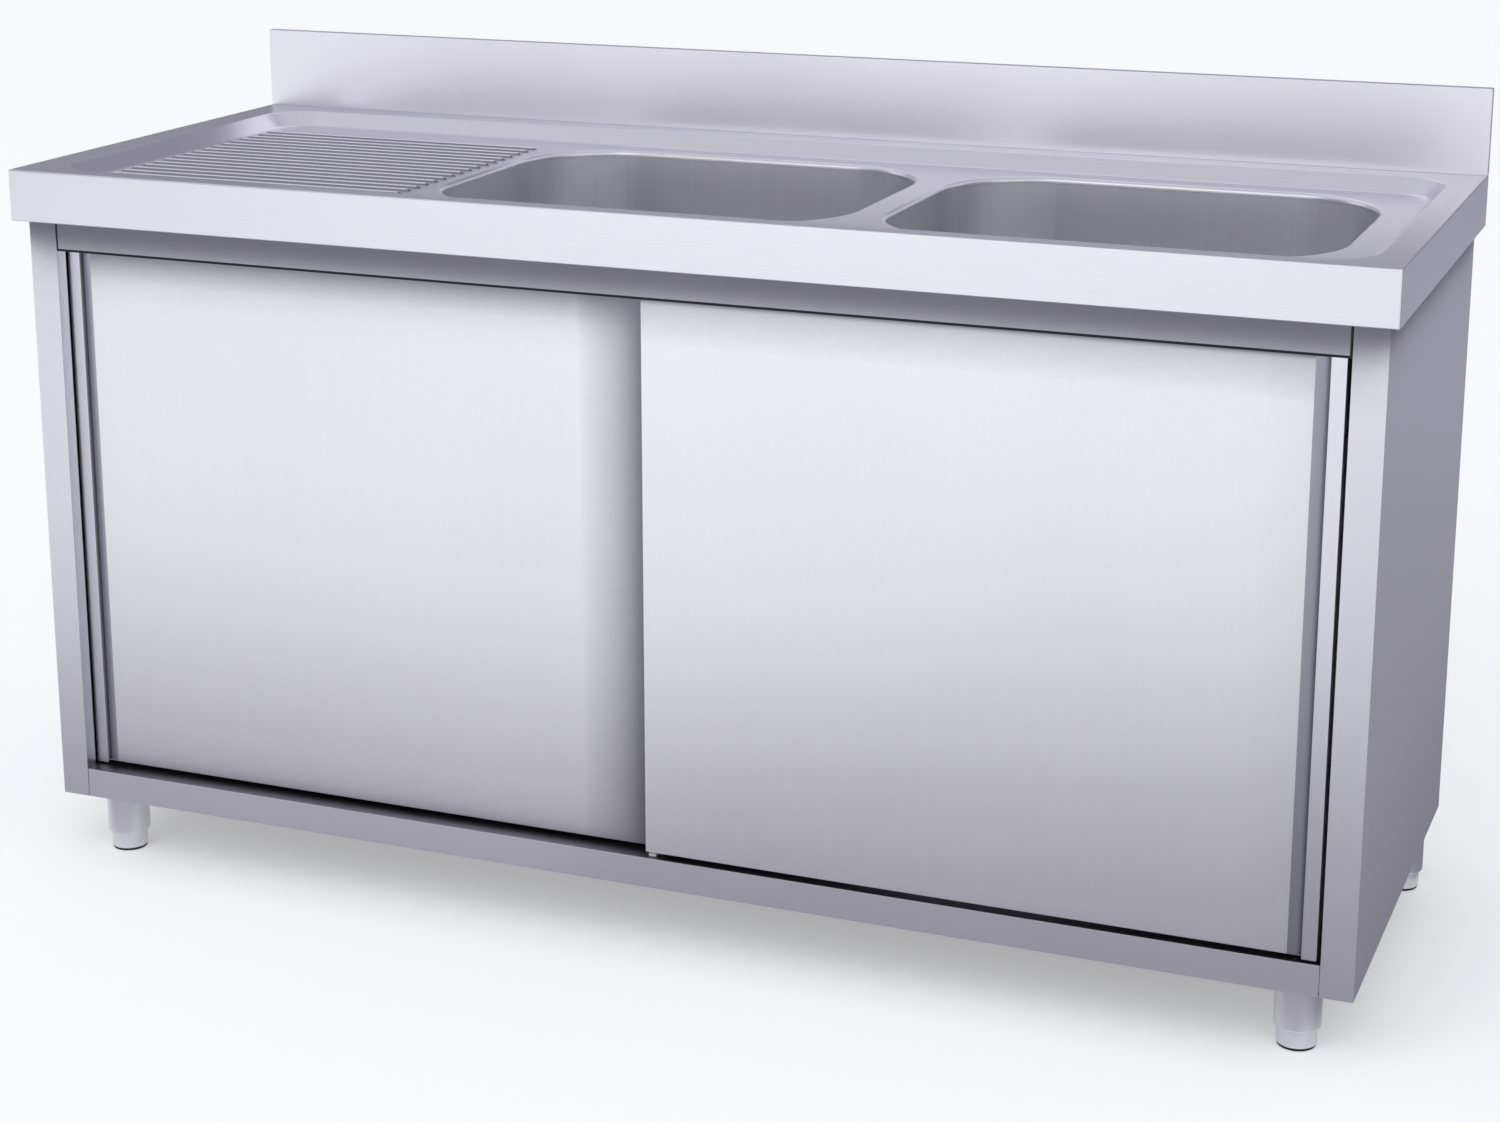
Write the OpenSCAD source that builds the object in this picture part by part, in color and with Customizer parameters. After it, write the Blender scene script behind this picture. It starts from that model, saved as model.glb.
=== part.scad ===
// Stainless steel sink cabinet: a pressed worktop with a drainer and two bowls on a floor cabinet
// with two top-hung sliding doors and four adjustable feet.
// The origin is on the floor under the middle of the worktop. +X is right, +Y rear, +Z up.

/* [Overall] */
// Width of the worktop
top_w = 1600; // [1500:10:2000]
// Depth of the worktop with its splashback
top_d = 600; // [590:5:700]
// Height of the worktop above the floor
work_h = 850; // [820:5:920]
// Height of the cabinet's underside above the floor
leg_h = 75; // [60:1:110]

/* [Worktop] */
// Thickness of the worktop sheet
top_sheet = 1.5; // [1:0.1:2]
// Height of the turned down edge
apron_h = 60; // [50:1:70]
// Flat rim left of the pressed recess
rim_left = 41; // [36:1:60]
// Flat rim right of the pressed recess
rim_right = 33; // [28:1:60]
// Flat rim in front of the pressed recess
rim_front = 25; // [22:1:34]
// Flat rim between the recess and the splashback
rim_rear = 35; // [25:1:50]
// Depth of the pressed recess
recess_depth = 18; // [12:1:22]
// Width of the recess's sloping wall, seen from above
recess_run = 18; // [12:1:22]
// Corner radius of the recess
recess_r = 60; // [45:1:66]

/* [Splashback] */
// Height of the splashback above the worktop
splash_h = 100; // [60:5:200]
// Depth of the splashback's folded top
splash_t = 12; // [8:1:20]
// Height of the lip behind the folded top
splash_lip = 20; // [10:1:40]

/* [Bowls] */
// Width of each bowl
bowl_w = 500; // [440:5:510]
// Depth of each bowl from front to rear
bowl_d = 400; // [340:5:400]
// Depth of each bowl below the recess floor
bowl_depth = 250; // [200:5:290]
// Corner radius of each bowl
bowl_r = 110; // [70:1:130]
// Radius between a bowl's walls and its floor
bowl_floor_r = 45; // [20:1:50]
// Thickness of the bowl sheet
bowl_sheet = 1.2; // [0.8:0.1:1.5]
// Width of the bowl's flange under the worktop
bowl_flange = 12; // [8:1:16]
// Distance from the worktop's front edge to the bowls
bowl_front = 98; // [96:1:104]
// Distance between the two bowls
bowl_gap = 40; // [36:1:60]
// Distance from the right bowl to the recess's right edge
bowl_margin = 56; // [46:1:80]

/* [Drainer] */
// Number of raised ribs
rib_count = 17; // [9:1:17]
// Distance between the ribs' centres
rib_pitch = 22; // [16:1:24]
// Width of a rib
rib_w = 10; // [6:1:12]
// Height of a rib above the recess floor
rib_h = 3; // [1.5:0.5:3]
// Space between the ribs and the left bowl
rib_end_gap = 16; // [14:1:40]
// Space between the ribs and the foot of the recess's left wall
rib_start_gap = 5; // [4:1:30]
// Height of the stiffening channels under the drainer
stiffener_h = 16; // [10:1:30]
// Width of a stiffening channel's web
stiffener_w = 30; // [20:1:50]
// Width of a stiffening channel's flanges
stiffener_flange = 10; // [8:1:16]

/* [Cabinet] */
// Thickness of the cabinet's sheet
panel_sheet = 1.2; // [0.8:0.1:1.2]
// How far the worktop stands out past each side panel
overhang = 11.5; // [8:0.5:16]
// How far the worktop stands out past the cabinet's front
front_setback = 19.3; // [17:0.1:21]
// How far the worktop stands out past the cabinet's rear
rear_setback = 2.3; // [2.2:0.1:6]
// Width of the front stiles
stile_w = 35.5; // [34:0.5:40]
// Depth of the fold beside the doors
jamb_depth = 17.3; // [12:0.1:18.5]
// Width of the side panels' rear flanges
rear_flange = 20; // [16:1:30]
// Height of the top rail that shows under the worktop's edge
top_rail_show = 36; // [20:1:36]
// Height of the bottom rail
bottom_rail_h = 35.5; // [30:0.5:40]
// Width of the folds under the base shelf
shelf_fold = 10; // [6:1:12]
// Open seam between the rails and the stiles
seam = 0.8; // [0.3:0.1:0.9]

/* [Doors] */
// Thickness of a door
door_t = 16; // [14:0.5:17]
// Running gap between the two doors
door_gap = 2.6; // [2:0.1:4]
// How far the front door's face stands back from the cabinet's front
door_setback = 3.2; // [2.5:0.1:4]
// How far the doors overlap when they are closed
door_overlap = 12.5; // [10:0.5:30]
// Gap between the front door and its jamb
door_end_gap = 5; // [2:0.5:8]
// How far the rear door reaches behind its jamb
door_tuck = 0.5; // [0:0.5:10]
// Gap between the doors and the base shelf
door_floor_gap = 6.5; // [5:0.5:9]
// Thickness of a door's sheets
door_sheet = 1; // [0.8:0.1:1.2]
// Width of the pull profile on a door's outer edge
pull_w = 16; // [12:1:24]
// How far the pull profile reaches below the door's panel
pull_drop = 4; // [1:0.5:4]
// Width of the rolled edge that leaves room for the fingers
roll_w = 15; // [12:1:24]
// Depth of the rolled edge beside the pull profile
roll_depth = 7; // [5:0.5:10]

/* [Door gear] */
// Wall of the door track
track_wall = 1.4; // [1.2:0.1:2]
// Width of the track lips that the rollers run on
lip_w = 7; // [6.5:0.5:7.5]
// Radius of a roller
roller_r = 11; // [9:0.5:12]
// Width of a roller
roller_w = 5; // [4:0.5:5]
// Radius of a roller's axle
axle_r = 2.5; // [1.5:0.5:3]
// Radius of the heads on an axle
axle_head_r = 4.5; // [4:0.5:6]
// Length of a door hanger along the door
hanger_l = 40; // [30:1:60]
// Thickness of a door hanger
hanger_t = 2; // [1.5:0.1:2.5]
// Distance from a door's end to the middle of its hanger
hanger_inset = 60; // [50:1:120]
// Space between the doors and the track
hanger_room = 8; // [7:0.5:12]
// Height of the guide tongues above the base shelf
tongue_h = 16; // [13:1:18]
// Thickness of a guide tongue
tongue_t = 4; // [3:0.5:5]
// Length of a track stop
stop_l = 10; // [6:1:20]

/* [Legs] */
// Radius of a leg sleeve
leg_r = 25.4; // [24:0.1:25.4]
// Wall of a leg sleeve
leg_wall = 1.5; // [1.2:0.1:2]
// Height of the sleeves' lower ends above the floor
sleeve_h = 22; // [18:1:30]
// Distance from a side panel's face to a front leg's axis
front_leg_side = 63.5; // [40:0.5:100]
// Distance from the cabinet's front to a front leg's axis
front_leg_depth = 40.7; // [40:0.1:80]
// Distance from a side panel's face to a rear leg's axis
rear_leg_side = 30; // [30:0.5:100]
// Distance from the cabinet's rear to a rear leg's axis
rear_leg_depth = 78.7; // [44:0.1:120]
// Width of a leg's fixing plate
leg_plate_w = 54; // [50:1:54]
// Depth of a leg's fixing plate
leg_plate_d = 76; // [74:1:76]
// Thickness of a leg's fixing plate
leg_plate_t = 3; // [2:0.5:4]
// Radius of a foot
foot_r = 21.5; // [18:0.1:22]
// Radius of a foot's threaded stem
stem_r = 6; // [4:0.5:8]
// Height of a foot's pad
pad_h = 3; // [2:0.5:6]
// How far a foot reaches up inside its sleeve
foot_in = 23; // [15:1:23]
// How far a foot can screw up into its sleeve
foot_up = 15; // [5:1:15]

/* [Waste] */
// Radius of a waste's flange in the bowl
waste_flange_r = 55; // [50:1:70]
// Outer radius of a waste's body
waste_r = 42; // [36:1:44]
// Height of a waste's body under the bowl's floor
waste_h = 45; // [40:1:60]
// Wall of a waste's body
waste_wall = 2; // [1.5:0.5:3]
// Outer radius of the waste pipes
pipe_r = 20; // [16:0.5:22]
// Wall of the waste pipes
pipe_wall = 2; // [1.5:0.1:2.5]
// Height of the connecting pipe's axis above the base shelf
manifold_h = 339.5; // [320:0.5:350]
// Outer radius of the bottle trap
trap_r = 35; // [32:1:45]
// Height of the bottle trap's body
trap_h = 75; // [65:1:90]
// Height of the bottle trap's screwed cup
cup_h = 42; // [30:1:60]
// Width of the service cut-out in the rear panel
service_w = 220; // [120:10:400]
// Height of the service cut-out in the rear panel
service_h = 160; // [100:10:200]
// Distance from the cabinet's rear to the end of the outlet pipe
outlet_back = 12; // [5:1:60]
// Depth of the socket on the outlet pipe's end
socket_l = 45; // [30:1:60]

/* [Hidden] */

$fn = 64;
// Overshoot of a cut past the faces it opens
cut = 1;
// Radial clearance of a pin in its hole
pin_fit = 0.05;
// Clearance between a roller and the lip that it runs on
seat = 0.3;
// Clearance of loose pieces beside their neighbours
loose = 0.5;
// Clearance on each side of the bottom guide's tongues
guide_fit = 1;

// Faces of the cabinet
side_x = top_w / 2 - overhang;
inner_x = side_x - panel_sheet;
open_x = side_x - stile_w;
front_y = -top_d / 2 + front_setback;
rear_y = top_d / 2 - rear_setback;
shelf_z = leg_h + bottom_rail_h;
rim_z = work_h - top_sheet;
floor_z = work_h - recess_depth;
under_z = floor_z - top_sheet;
apron_z = work_h - apron_h;
rail_x = open_x - seam;
back_y = rear_y - 2 * panel_sheet;

// Pressed recess, at the level of the rim
recess_x0 = -top_w / 2 + rim_left;
recess_x1 = top_w / 2 - rim_right;
recess_y0 = -top_d / 2 + rim_front;
recess_y1 = top_d / 2 - splash_t - rim_rear;

// Bowls
right_bowl_x = recess_x1 - bowl_margin - bowl_w / 2;
left_bowl_x = right_bowl_x - bowl_w - bowl_gap;
bowl_y = -top_d / 2 + bowl_front + bowl_d / 2;
bowl_z = floor_z - bowl_depth;

// Doors
door_w = (2 * open_x - door_end_gap + door_tuck + door_overlap) / 2;
left_door_x = -open_x - door_tuck;
right_door_x = open_x - door_end_gap;
front_lane_y = front_y + door_setback + door_t / 2;
rear_lane_y = front_lane_y + door_t + door_gap;
door_z = shelf_z + door_floor_gap;
roll_r = (pow(roll_w, 2) + pow(roll_depth, 2)) / (2 * roll_depth);
core_gap = 5;

// Door track and rollers
track_y = front_y + panel_sheet;
lane_half = front_lane_y - track_y - track_wall;
track_z = under_z - panel_sheet;
// Space over the rollers
roller_headroom = 2.1;
lip_z = track_z - track_wall - roller_headroom - 2 * roller_r - seat;
roller_z = lip_z + seat + roller_r;
door_top = lip_z - track_wall - hanger_room;
track_rear_y = rear_lane_y + lane_half + track_wall;
// Places across a lane, counted from the lane's middle
axle_head_t = 0.8;
roller_side = 0.2;
roller_y = -lane_half + loose + axle_head_t + roller_side + roller_w / 2;
hanger_y = 3;
hanger_foot_w = 11;
hanger_rim = 2;
// Along the door, at the middle of each hanger
hanger_places = [hanger_inset, door_w - hanger_inset];

// Bottom guide, in the overlap of the closed doors
guide_x = (right_door_x - door_w + left_door_x + door_w) / 2;
guide_w = door_overlap - 2 * door_sheet - 2 * guide_fit;
guide_base_h = 3;
// How far the rolled edge's sheet stands past the pull, level with a tongue's front face
roll_reach = roll_w - sqrt(pow(roll_r - door_sheet, 2) - pow(roll_r - (door_t - tongue_t) / 2, 2));
// How far each door opens, until its rolled edge reaches the guide
door_travel = right_door_x - pull_w - max(door_sheet, roll_reach) - guide_x - guide_w / 2 - guide_fit;

// Legs
plate_z = shelf_z - panel_sheet - leg_plate_t;
sleeve_round = 3;
plug_h = 24;
plug_z = sleeve_h + foot_in + foot_up + loose;
// How far a pad stands in from its foot's edge
pad_in = 1;

// Stiffening channels and the rear panel's top flange
stiffener_gap = 5;
stiffener_leg_gap = 10;
panel_flange = 15;

// Waste
waste_flange_t = 1.5;
gasket_t = 3;
gasket_in = 2;
nut_h = 12;
nut_in = 4;
waste_z = bowl_z - waste_h;
spigot_l = 40;
spigot_end = waste_z - spigot_l;
manifold_z = shelf_z + manifold_h;
collar_t = 4;
collar_l = 20;
collar_foot = 5;
// How far the slip nuts and the cup stand out round what they close
nut_t = 3;
trap_x = (left_bowl_x + right_bowl_x) / 2;
trap_drop = 45;
trap_top = manifold_z - trap_drop;
dip_l = 60;
outlet_drop = 5;
outlet_z = trap_top - collar_t - pipe_r - outlet_drop;
cup_lap = 12;
cup_floor = 3;
// Radial room for the next pipe in the outlet's socket
socket_fit = 0.3;

// Strainer baskets
basket_t = 1;
basket_hole_r = 2;
basket_rings = 3;
knob_h = 8;
knob_r = 4;
knob_top_r = 9;

// Rivets, and the screws of the track, the legs and the doors
rivet_count = 6;
rivet_edge = 40;
rivet_r = 2.4;
rivet_head_r = 4.8;
rivet_tail_r = 3.4;
rivet_head_h = 1.2;
track_screw_count = 5;
track_screw_edge = 100;
track_screw_r = 1.5;
track_screw_head_r = 3;
track_screw_head_h = 1;
leg_screw_edge = 5;
leg_screw_r = 2.5;
leg_screw_head_r = 4;
leg_screw_head_h = 2.5;
door_screw_edge = 6;
door_screw_r = 2;
door_screw_head_r = 3.2;
door_screw_head_h = 1.8;

steel = [0.80, 0.80, 0.82];
shaded_steel = [0.62, 0.62, 0.65];
bright_steel = [0.88, 0.88, 0.90];
nylon = [0.90, 0.90, 0.87];
rubber = [0.10, 0.10, 0.11];

// A block between two limits along each axis
module block(x, y, z) {
    translate([x[0], y[0], z[0]]) cube([x[1] - x[0], y[1] - y[0], z[1] - z[0]]);
}

// A rectangle with round corners, grown by g
module rounded_rect(x, y, r, g = 0) {
    x0 = x[0] - g;
    x1 = x[1] + g;
    y0 = y[0] - g;
    y1 = y[1] + g;
    c = r + g;
    translate([x0 + c, y0]) square([x1 - x0 - 2 * c, y1 - y0]);
    translate([x0, y0 + c]) square([x1 - x0, y1 - y0 - 2 * c]);
    for (cx = [x0 + c, x1 - c], cy = [y0 + c, y1 - c]) translate([cx, cy]) circle(c);
}

// A tube along +Z
module tube(r, wall, h) {
    difference() {
        cylinder(r = r, h = h);
        translate([0, 0, -cut]) cylinder(r = r - wall, h = h + 2 * cut);
    }
}

// A ring with a bore of radius r
module ring(r, outer, h) {
    tube(outer, outer - r, h);
}

// Turns what stands on +Z to lie along +Y
module along_y() {
    rotate([-90, 0, 0]) children();
}

// Turns what stands on +Z to lie along +X
module along_x() {
    rotate([0, 90, 0]) children();
}

// A solid between limits along each axis, with corners of radius c in plan. The child draws the
// section of its edge, from x = 0 over the corners' centres out to x = c.
module dish(x, y, c, z) {
    // Distance from the middle to the corners' centres
    px = (x[1] - x[0]) / 2 - c;
    py = (y[1] - y[0]) / 2 - c;
    translate([(x[0] + x[1]) / 2, (y[0] + y[1]) / 2, 0]) {
        block([-px, px], [-py, py], z);
        for (i = [0, 1], j = [0, 1]) mirror([i, 0, 0]) mirror([0, j, 0]) {
            translate([px, py, 0]) rotate_extrude(angle = 90) children();
            translate([px, py, 0]) rotate([90, 0, 0]) linear_extrude(py) children();
            translate([0, py, 0]) rotate([90, 0, 90]) linear_extrude(px) children();
        }
    }
}

// Pressed recess with sloping walls down to the level foot, its wall moved out by g
module recess_form(top, foot, g) {
    slope = recess_run / recess_depth;
    c = recess_r + g + (top - work_h) * slope;
    low = c - (top - foot) * slope;
    out = c - recess_r;
    dish([recess_x0 - out, recess_x1 + out], [recess_y0 - out, recess_y1 + out], c, [foot, top])
        polygon([[0, foot], [low, foot], [c, top], [0, top]]);
}

// One raised drainer rib with round ends, its axis on y = 0
module rib(x0, x1) {
    // The crown is level over the middle fifth of the rib
    level = rib_w / 10;
    rise_w = rib_w / 2 - level;
    r = (pow(rise_w, 2) + pow(rib_h, 2)) / (2 * rib_h);
    half = asin(rise_w / r);
    steps = 6;
    sink = top_sheet / 2;
    function crown(a) = [level + r * sin(a), r * cos(a) - r + rib_h];
    // Half of the rib's section, from its foot up to its crown
    side = concat([[0, -sink], [rib_w / 2, -sink]], [for (i = [0:steps]) crown(half - half * i / steps)],
        [[0, rib_h]]);
    translate([x0 + rib_w / 2, 0, 0]) rotate([90, 0, 90]) linear_extrude(x1 - x0 - rib_w) {
        polygon(side);
        mirror([1, 0]) polygon(side);
    }
    for (x = [x0 + rib_w / 2, x1 - rib_w / 2]) translate([x, 0, 0]) rotate_extrude() polygon(side);
}

module worktop() {
    hem = overhang - top_sheet - loose;
    // Sheet thickness measured level through the recess's sloping wall
    wall = top_sheet * sqrt(1 + pow(recess_run / recess_depth, 2));
    x = top_w / 2;
    y = top_d / 2;
    color(bright_steel) difference() {
        union() {
            block([-x, x], [-y, y], [rim_z, work_h]);
            recess_form(work_h, under_z, wall);
            // Turned down edges
            block([-x, x], [-y, -y + top_sheet], [apron_z, work_h]);
            block([-x, x], [y - top_sheet, y], [apron_z, work_h]);
            for (s = [0, 1]) mirror([s, 0, 0]) {
                block([x - top_sheet, x], [-y, y], [apron_z, work_h]);
                block([x - top_sheet - hem, x], [-y, y], [apron_z, apron_z + top_sheet]);
            }
            block([-x, x], [-y, front_y - loose], [apron_z, apron_z + top_sheet]);
        }
        recess_form(work_h + cut, floor_z, 0);
        for (bx = [left_bowl_x, right_bowl_x])
            translate([0, 0, under_z - cut]) linear_extrude(top_sheet + 2 * cut)
                rounded_rect([bx - bowl_w / 2, bx + bowl_w / 2], [bowl_y - bowl_d / 2, bowl_y + bowl_d / 2],
                    bowl_r);
    }
    color(bright_steel) for (i = [0:rib_count - 1])
        translate([0, (recess_y0 + recess_y1) / 2 + (i - (rib_count - 1) / 2) * rib_pitch, floor_z])
            rib(recess_x0 + recess_run + rib_start_gap, left_bowl_x - bowl_w / 2 - rib_end_gap);
}

module splashback() {
    x = top_w / 2;
    y1 = top_d / 2;
    y0 = y1 - splash_t;
    top = work_h + splash_h;
    color(bright_steel) {
        block([-x, x], [y0, y0 + top_sheet], [work_h, top]);
        block([-x, x], [y0, y1], [top - top_sheet, top]);
        block([-x, x], [y1 - top_sheet, y1], [top - splash_lip, top]);
        for (s = [0, 1]) mirror([s, 0, 0]) block([x - top_sheet, x], [y0, y1], [work_h, top]);
    }
}

// A bowl's shape, its wall moved out by g, with a rounded foot
module bowl_form(bx, top, g) {
    x = bowl_w / 2 + g;
    y = bowl_d / 2 + g;
    c = bowl_r + g;
    foot_round = bowl_floor_r + g;
    low = bowl_z - g;
    high = low + foot_round;
    dish([bx - x, bx + x], [bowl_y - y, bowl_y + y], c, [low, top]) {
        union() {
            translate([0, high]) square([c, top - high]);
            translate([0, low]) square([c - foot_round, foot_round]);
            intersection() {
                translate([c - foot_round, high]) circle(foot_round);
                translate([c - foot_round, low]) square(foot_round);
            }
        }
    }
}

module bowl(bx) {
    color(steel) difference() {
        union() {
            bowl_form(bx, under_z, bowl_sheet);
            translate([0, 0, under_z - bowl_sheet]) linear_extrude(bowl_sheet)
                rounded_rect([bx - bowl_w / 2, bx + bowl_w / 2], [bowl_y - bowl_d / 2, bowl_y + bowl_d / 2],
                    bowl_r, bowl_flange);
        }
        bowl_form(bx, under_z + cut, 0);
        translate([bx, bowl_y, bowl_z - bowl_sheet - cut])
            cylinder(r = waste_r + loose, h = bowl_sheet + 2 * cut);
    }
}

module left_bowl() {
    bowl(left_bowl_x);
}

module right_bowl() {
    bowl(right_bowl_x);
}

// Channel with two flanges on top, hanging from z = 0, with its length along +X
module hat(length, web, flange, h) {
    for (s = [0, 1]) mirror([0, s, 0]) {
        block([0, length], [web / 2 - panel_sheet, web / 2 + flange], [-panel_sheet, 0]);
        block([0, length], [web / 2 - panel_sheet, web / 2], [-h, 0]);
    }
    block([0, length], [-web / 2, web / 2], [-h, -h + panel_sheet]);
}

module drainer_stiffeners() {
    x0 = recess_x0 + recess_run;
    x1 = left_bowl_x - bowl_w / 2 - bowl_flange;
    y0 = track_rear_y + stiffener_gap;
    y1 = recess_y1 - recess_run - stiffener_gap;
    color(shaded_steel) for (k = [1, 2]) translate([x0 + (x1 - x0) * k / 3, y0, under_z])
        rotate([0, 0, 90]) hat(y1 - y0, stiffener_w, stiffener_flange, stiffener_h);
}

// Heights of the rear rivets
function rivet_z(i) = leg_h + rivet_edge + i * (apron_z - leg_h - 2 * rivet_edge) / (rivet_count - 1);

// Rivets or their holes through the rear flanges and the rear panel
module rivet_places() {
    for (x = [-1, 1], i = [0:rivet_count - 1])
        translate([x * (side_x - rear_flange / 2), back_y, rivet_z(i)]) along_y() children();
}

// Right side panel with its folded stile, jamb and rear flange
module side_panel() {
    difference() {
        translate([0, 0, leg_h]) linear_extrude(rim_z - leg_h) {
            translate([inner_x, front_y]) square([panel_sheet, rear_y - front_y]);
            translate([open_x, front_y]) square([stile_w, panel_sheet]);
            translate([open_x, front_y]) square([panel_sheet, jamb_depth]);
            translate([side_x - rear_flange, rear_y - panel_sheet]) square([rear_flange, panel_sheet]);
        }
        rivet_places() translate([0, 0, -cut]) cylinder(r = rivet_r + pin_fit, h = 2 * panel_sheet + 2 * cut);
    }
}

module left_side_panel() {
    color(steel) mirror([1, 0, 0]) side_panel();
}

module right_side_panel() {
    color(steel) side_panel();
}

module rear_panel() {
    color(shaded_steel) difference() {
        union() {
            block([-inner_x, inner_x], [back_y, back_y + panel_sheet], [leg_h, rim_z]);
            block([-inner_x, inner_x], [back_y - panel_flange, back_y], [rim_z - panel_sheet, rim_z]);
        }
        rivet_places() translate([0, 0, -cut]) cylinder(r = rivet_r + pin_fit, h = 2 * panel_sheet + 2 * cut);
        block([trap_x - service_w / 2, trap_x + service_w / 2], [back_y - cut, rear_y],
            [outlet_z - service_h / 2, outlet_z + service_h / 2]);
    }
}

module rear_panel_rivets() {
    color(bright_steel) rivet_places() {
        cylinder(r = rivet_r, h = 2 * panel_sheet);
        translate([0, 0, 2 * panel_sheet]) cylinder(r1 = rivet_head_r, r2 = rivet_r, h = rivet_head_h);
        translate([0, 0, -rivet_head_h]) cylinder(r = rivet_tail_r, h = rivet_head_h);
    }
}

// Places of the track's fixing screws
module track_screw_places() {
    x = rail_x - track_screw_edge;
    for (i = [0:track_screw_count - 1])
        translate([-x + i * 2 * x / (track_screw_count - 1), rear_lane_y + hanger_y, track_z - track_wall])
            children();
}

module front_top_rail() {
    z0 = apron_z - top_rail_show;
    color(shaded_steel) difference() {
        union() {
            block([-rail_x, rail_x], [front_y, front_y + panel_sheet], [z0, under_z]);
            block([-rail_x, rail_x], [front_y, track_rear_y], [track_z, under_z]);
        }
        track_screw_places() cylinder(r = track_screw_r + pin_fit, h = track_wall + panel_sheet + cut);
    }
}

module door_track() {
    top = track_z - track_wall;
    low = lip_z - track_wall;
    color([0.75, 0.75, 0.77]) difference() {
        union() {
            block([-rail_x, rail_x], [track_y, track_rear_y], [top, track_z]);
            block([-rail_x, rail_x], [track_y, track_y + track_wall], [low, track_z]);
            block([-rail_x, rail_x], [front_lane_y + lane_half, rear_lane_y - lane_half], [low, track_z]);
            block([-rail_x, rail_x], [track_rear_y - track_wall, track_rear_y], [low, track_z]);
            for (y = [front_lane_y, rear_lane_y])
                block([-rail_x, rail_x], [y - lane_half - cut, y - lane_half + lip_w], [low, lip_z]);
        }
        track_screw_places() translate([0, 0, -cut])
            cylinder(r = track_screw_r + pin_fit, h = track_wall + 2 * cut);
    }
}

module track_screws() {
    color(bright_steel) track_screw_places() {
        cylinder(r = track_screw_r, h = track_wall + panel_sheet);
        translate([0, 0, -track_screw_head_h]) cylinder(r = track_screw_head_r, h = track_screw_head_h);
    }
}

// Two stops in a lane, past the outer roller of the closed door and the inner one of the open door
module lane_stops(door_end) {
    closed = door_end - hanger_inset + roller_r + loose;
    opened = door_end - door_w + hanger_inset - door_travel - roller_r - loose;
    block([closed, closed + stop_l], [-lane_half, lip_w - lane_half], [lip_z, lip_z + roller_r]);
    block([opened - stop_l, opened], [-lane_half, lip_w - lane_half], [lip_z, lip_z + roller_r]);
}

// Rubber stops that the rollers meet at the doors' limits
module track_stops() {
    color(rubber) {
        translate([0, front_lane_y, 0]) lane_stops(right_door_x);
        translate([0, rear_lane_y, 0]) mirror([1, 0, 0]) lane_stops(-left_door_x);
    }
}

module base_shelf() {
    z0 = leg_h;
    top = [shelf_z - panel_sheet, shelf_z];
    jamb_y = front_y + jamb_depth + loose / 2;
    color(steel) difference() {
        union() {
            block([-inner_x, inner_x], [jamb_y, back_y], top);
            block([-rail_x, rail_x], [front_y, jamb_y], top);
            block([-rail_x, rail_x], [front_y, front_y + panel_sheet], [z0, shelf_z]);
            block([-rail_x, rail_x], [front_y, front_y + shelf_fold], [z0, z0 + panel_sheet]);
            block([-inner_x, inner_x], [back_y - panel_sheet, back_y], [z0, shelf_z]);
            for (s = [0, 1]) mirror([s, 0, 0])
                block([inner_x - panel_sheet, inner_x], [jamb_y, back_y], [z0, shelf_z]);
        }
        leg_screw_places() cylinder(r = leg_screw_r + pin_fit, h = 3 * leg_plate_t + panel_sheet);
    }
}

module shelf_stiffener() {
    length = 2 * (side_x - rear_leg_side - leg_r - stiffener_leg_gap);
    color(shaded_steel) translate([-length / 2, 0, shelf_z - panel_sheet])
        hat(length, 2 * stiffener_w, stiffener_flange, stiffener_h);
}

module bottom_guide() {
    color(nylon) {
        block([guide_x - guide_w / 2, guide_x + guide_w / 2],
            [front_lane_y - tongue_t, rear_lane_y + tongue_t], [shelf_z, shelf_z + guide_base_h]);
        for (y = [front_lane_y, rear_lane_y])
            block([guide_x - guide_w / 2, guide_x + guide_w / 2], [y - tongue_t / 2, y + tongue_t / 2],
                [shelf_z, shelf_z + tongue_h]);
    }
}

// Axis of a leg: right is 1 or -1, rear is 0 or 1
function leg_at(right, rear) = [right * (side_x - (rear ? rear_leg_side : front_leg_side)),
    rear ? rear_y - rear_leg_depth : front_y + front_leg_depth, 0];

module leg(right, rear) {
    color(steel) difference() {
        translate(leg_at(right, rear)) {
            // The sleeve's rounded lower end turns in under its wall
            translate([0, 0, sleeve_h]) rotate_extrude() polygon(concat(
                [[foot_r + loose, 0]],
                [for (a = [0:15:90]) [leg_r - sleeve_round + sleeve_round * sin(a),
                    sleeve_round - sleeve_round * cos(a)]],
                [[leg_r, plate_z - sleeve_h], [leg_r - leg_wall, plate_z - sleeve_h],
                    [leg_r - leg_wall, sleeve_round], [foot_r + loose, leg_wall]]));
            block([-leg_plate_w / 2, leg_plate_w / 2], [-leg_plate_d / 2, leg_plate_d / 2],
                [plate_z, plate_z + leg_plate_t]);
        }
        leg_screw_places() cylinder(r = leg_screw_r + pin_fit, h = 3 * leg_plate_t);
    }
}

module front_left_leg() {
    leg(-1, 0);
}

module front_right_leg() {
    leg(1, 0);
}

module rear_left_leg() {
    leg(-1, 1);
}

module rear_right_leg() {
    leg(1, 1);
}

// Under the fixing plates, beside each sleeve
module leg_screw_places() {
    for (right = [-1, 1], rear = [0, 1], s = [-1, 1])
        translate(leg_at(right, rear) + [0, s * (leg_plate_d / 2 - leg_screw_edge), plate_z - leg_plate_t])
            children();
}

module leg_screws() {
    color(bright_steel) leg_screw_places() {
        cylinder(r = leg_screw_r, h = 2 * leg_plate_t + panel_sheet);
        translate([0, 0, leg_plate_t - leg_screw_head_h])
            cylinder(r = leg_screw_head_r, h = leg_screw_head_h);
    }
}

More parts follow.
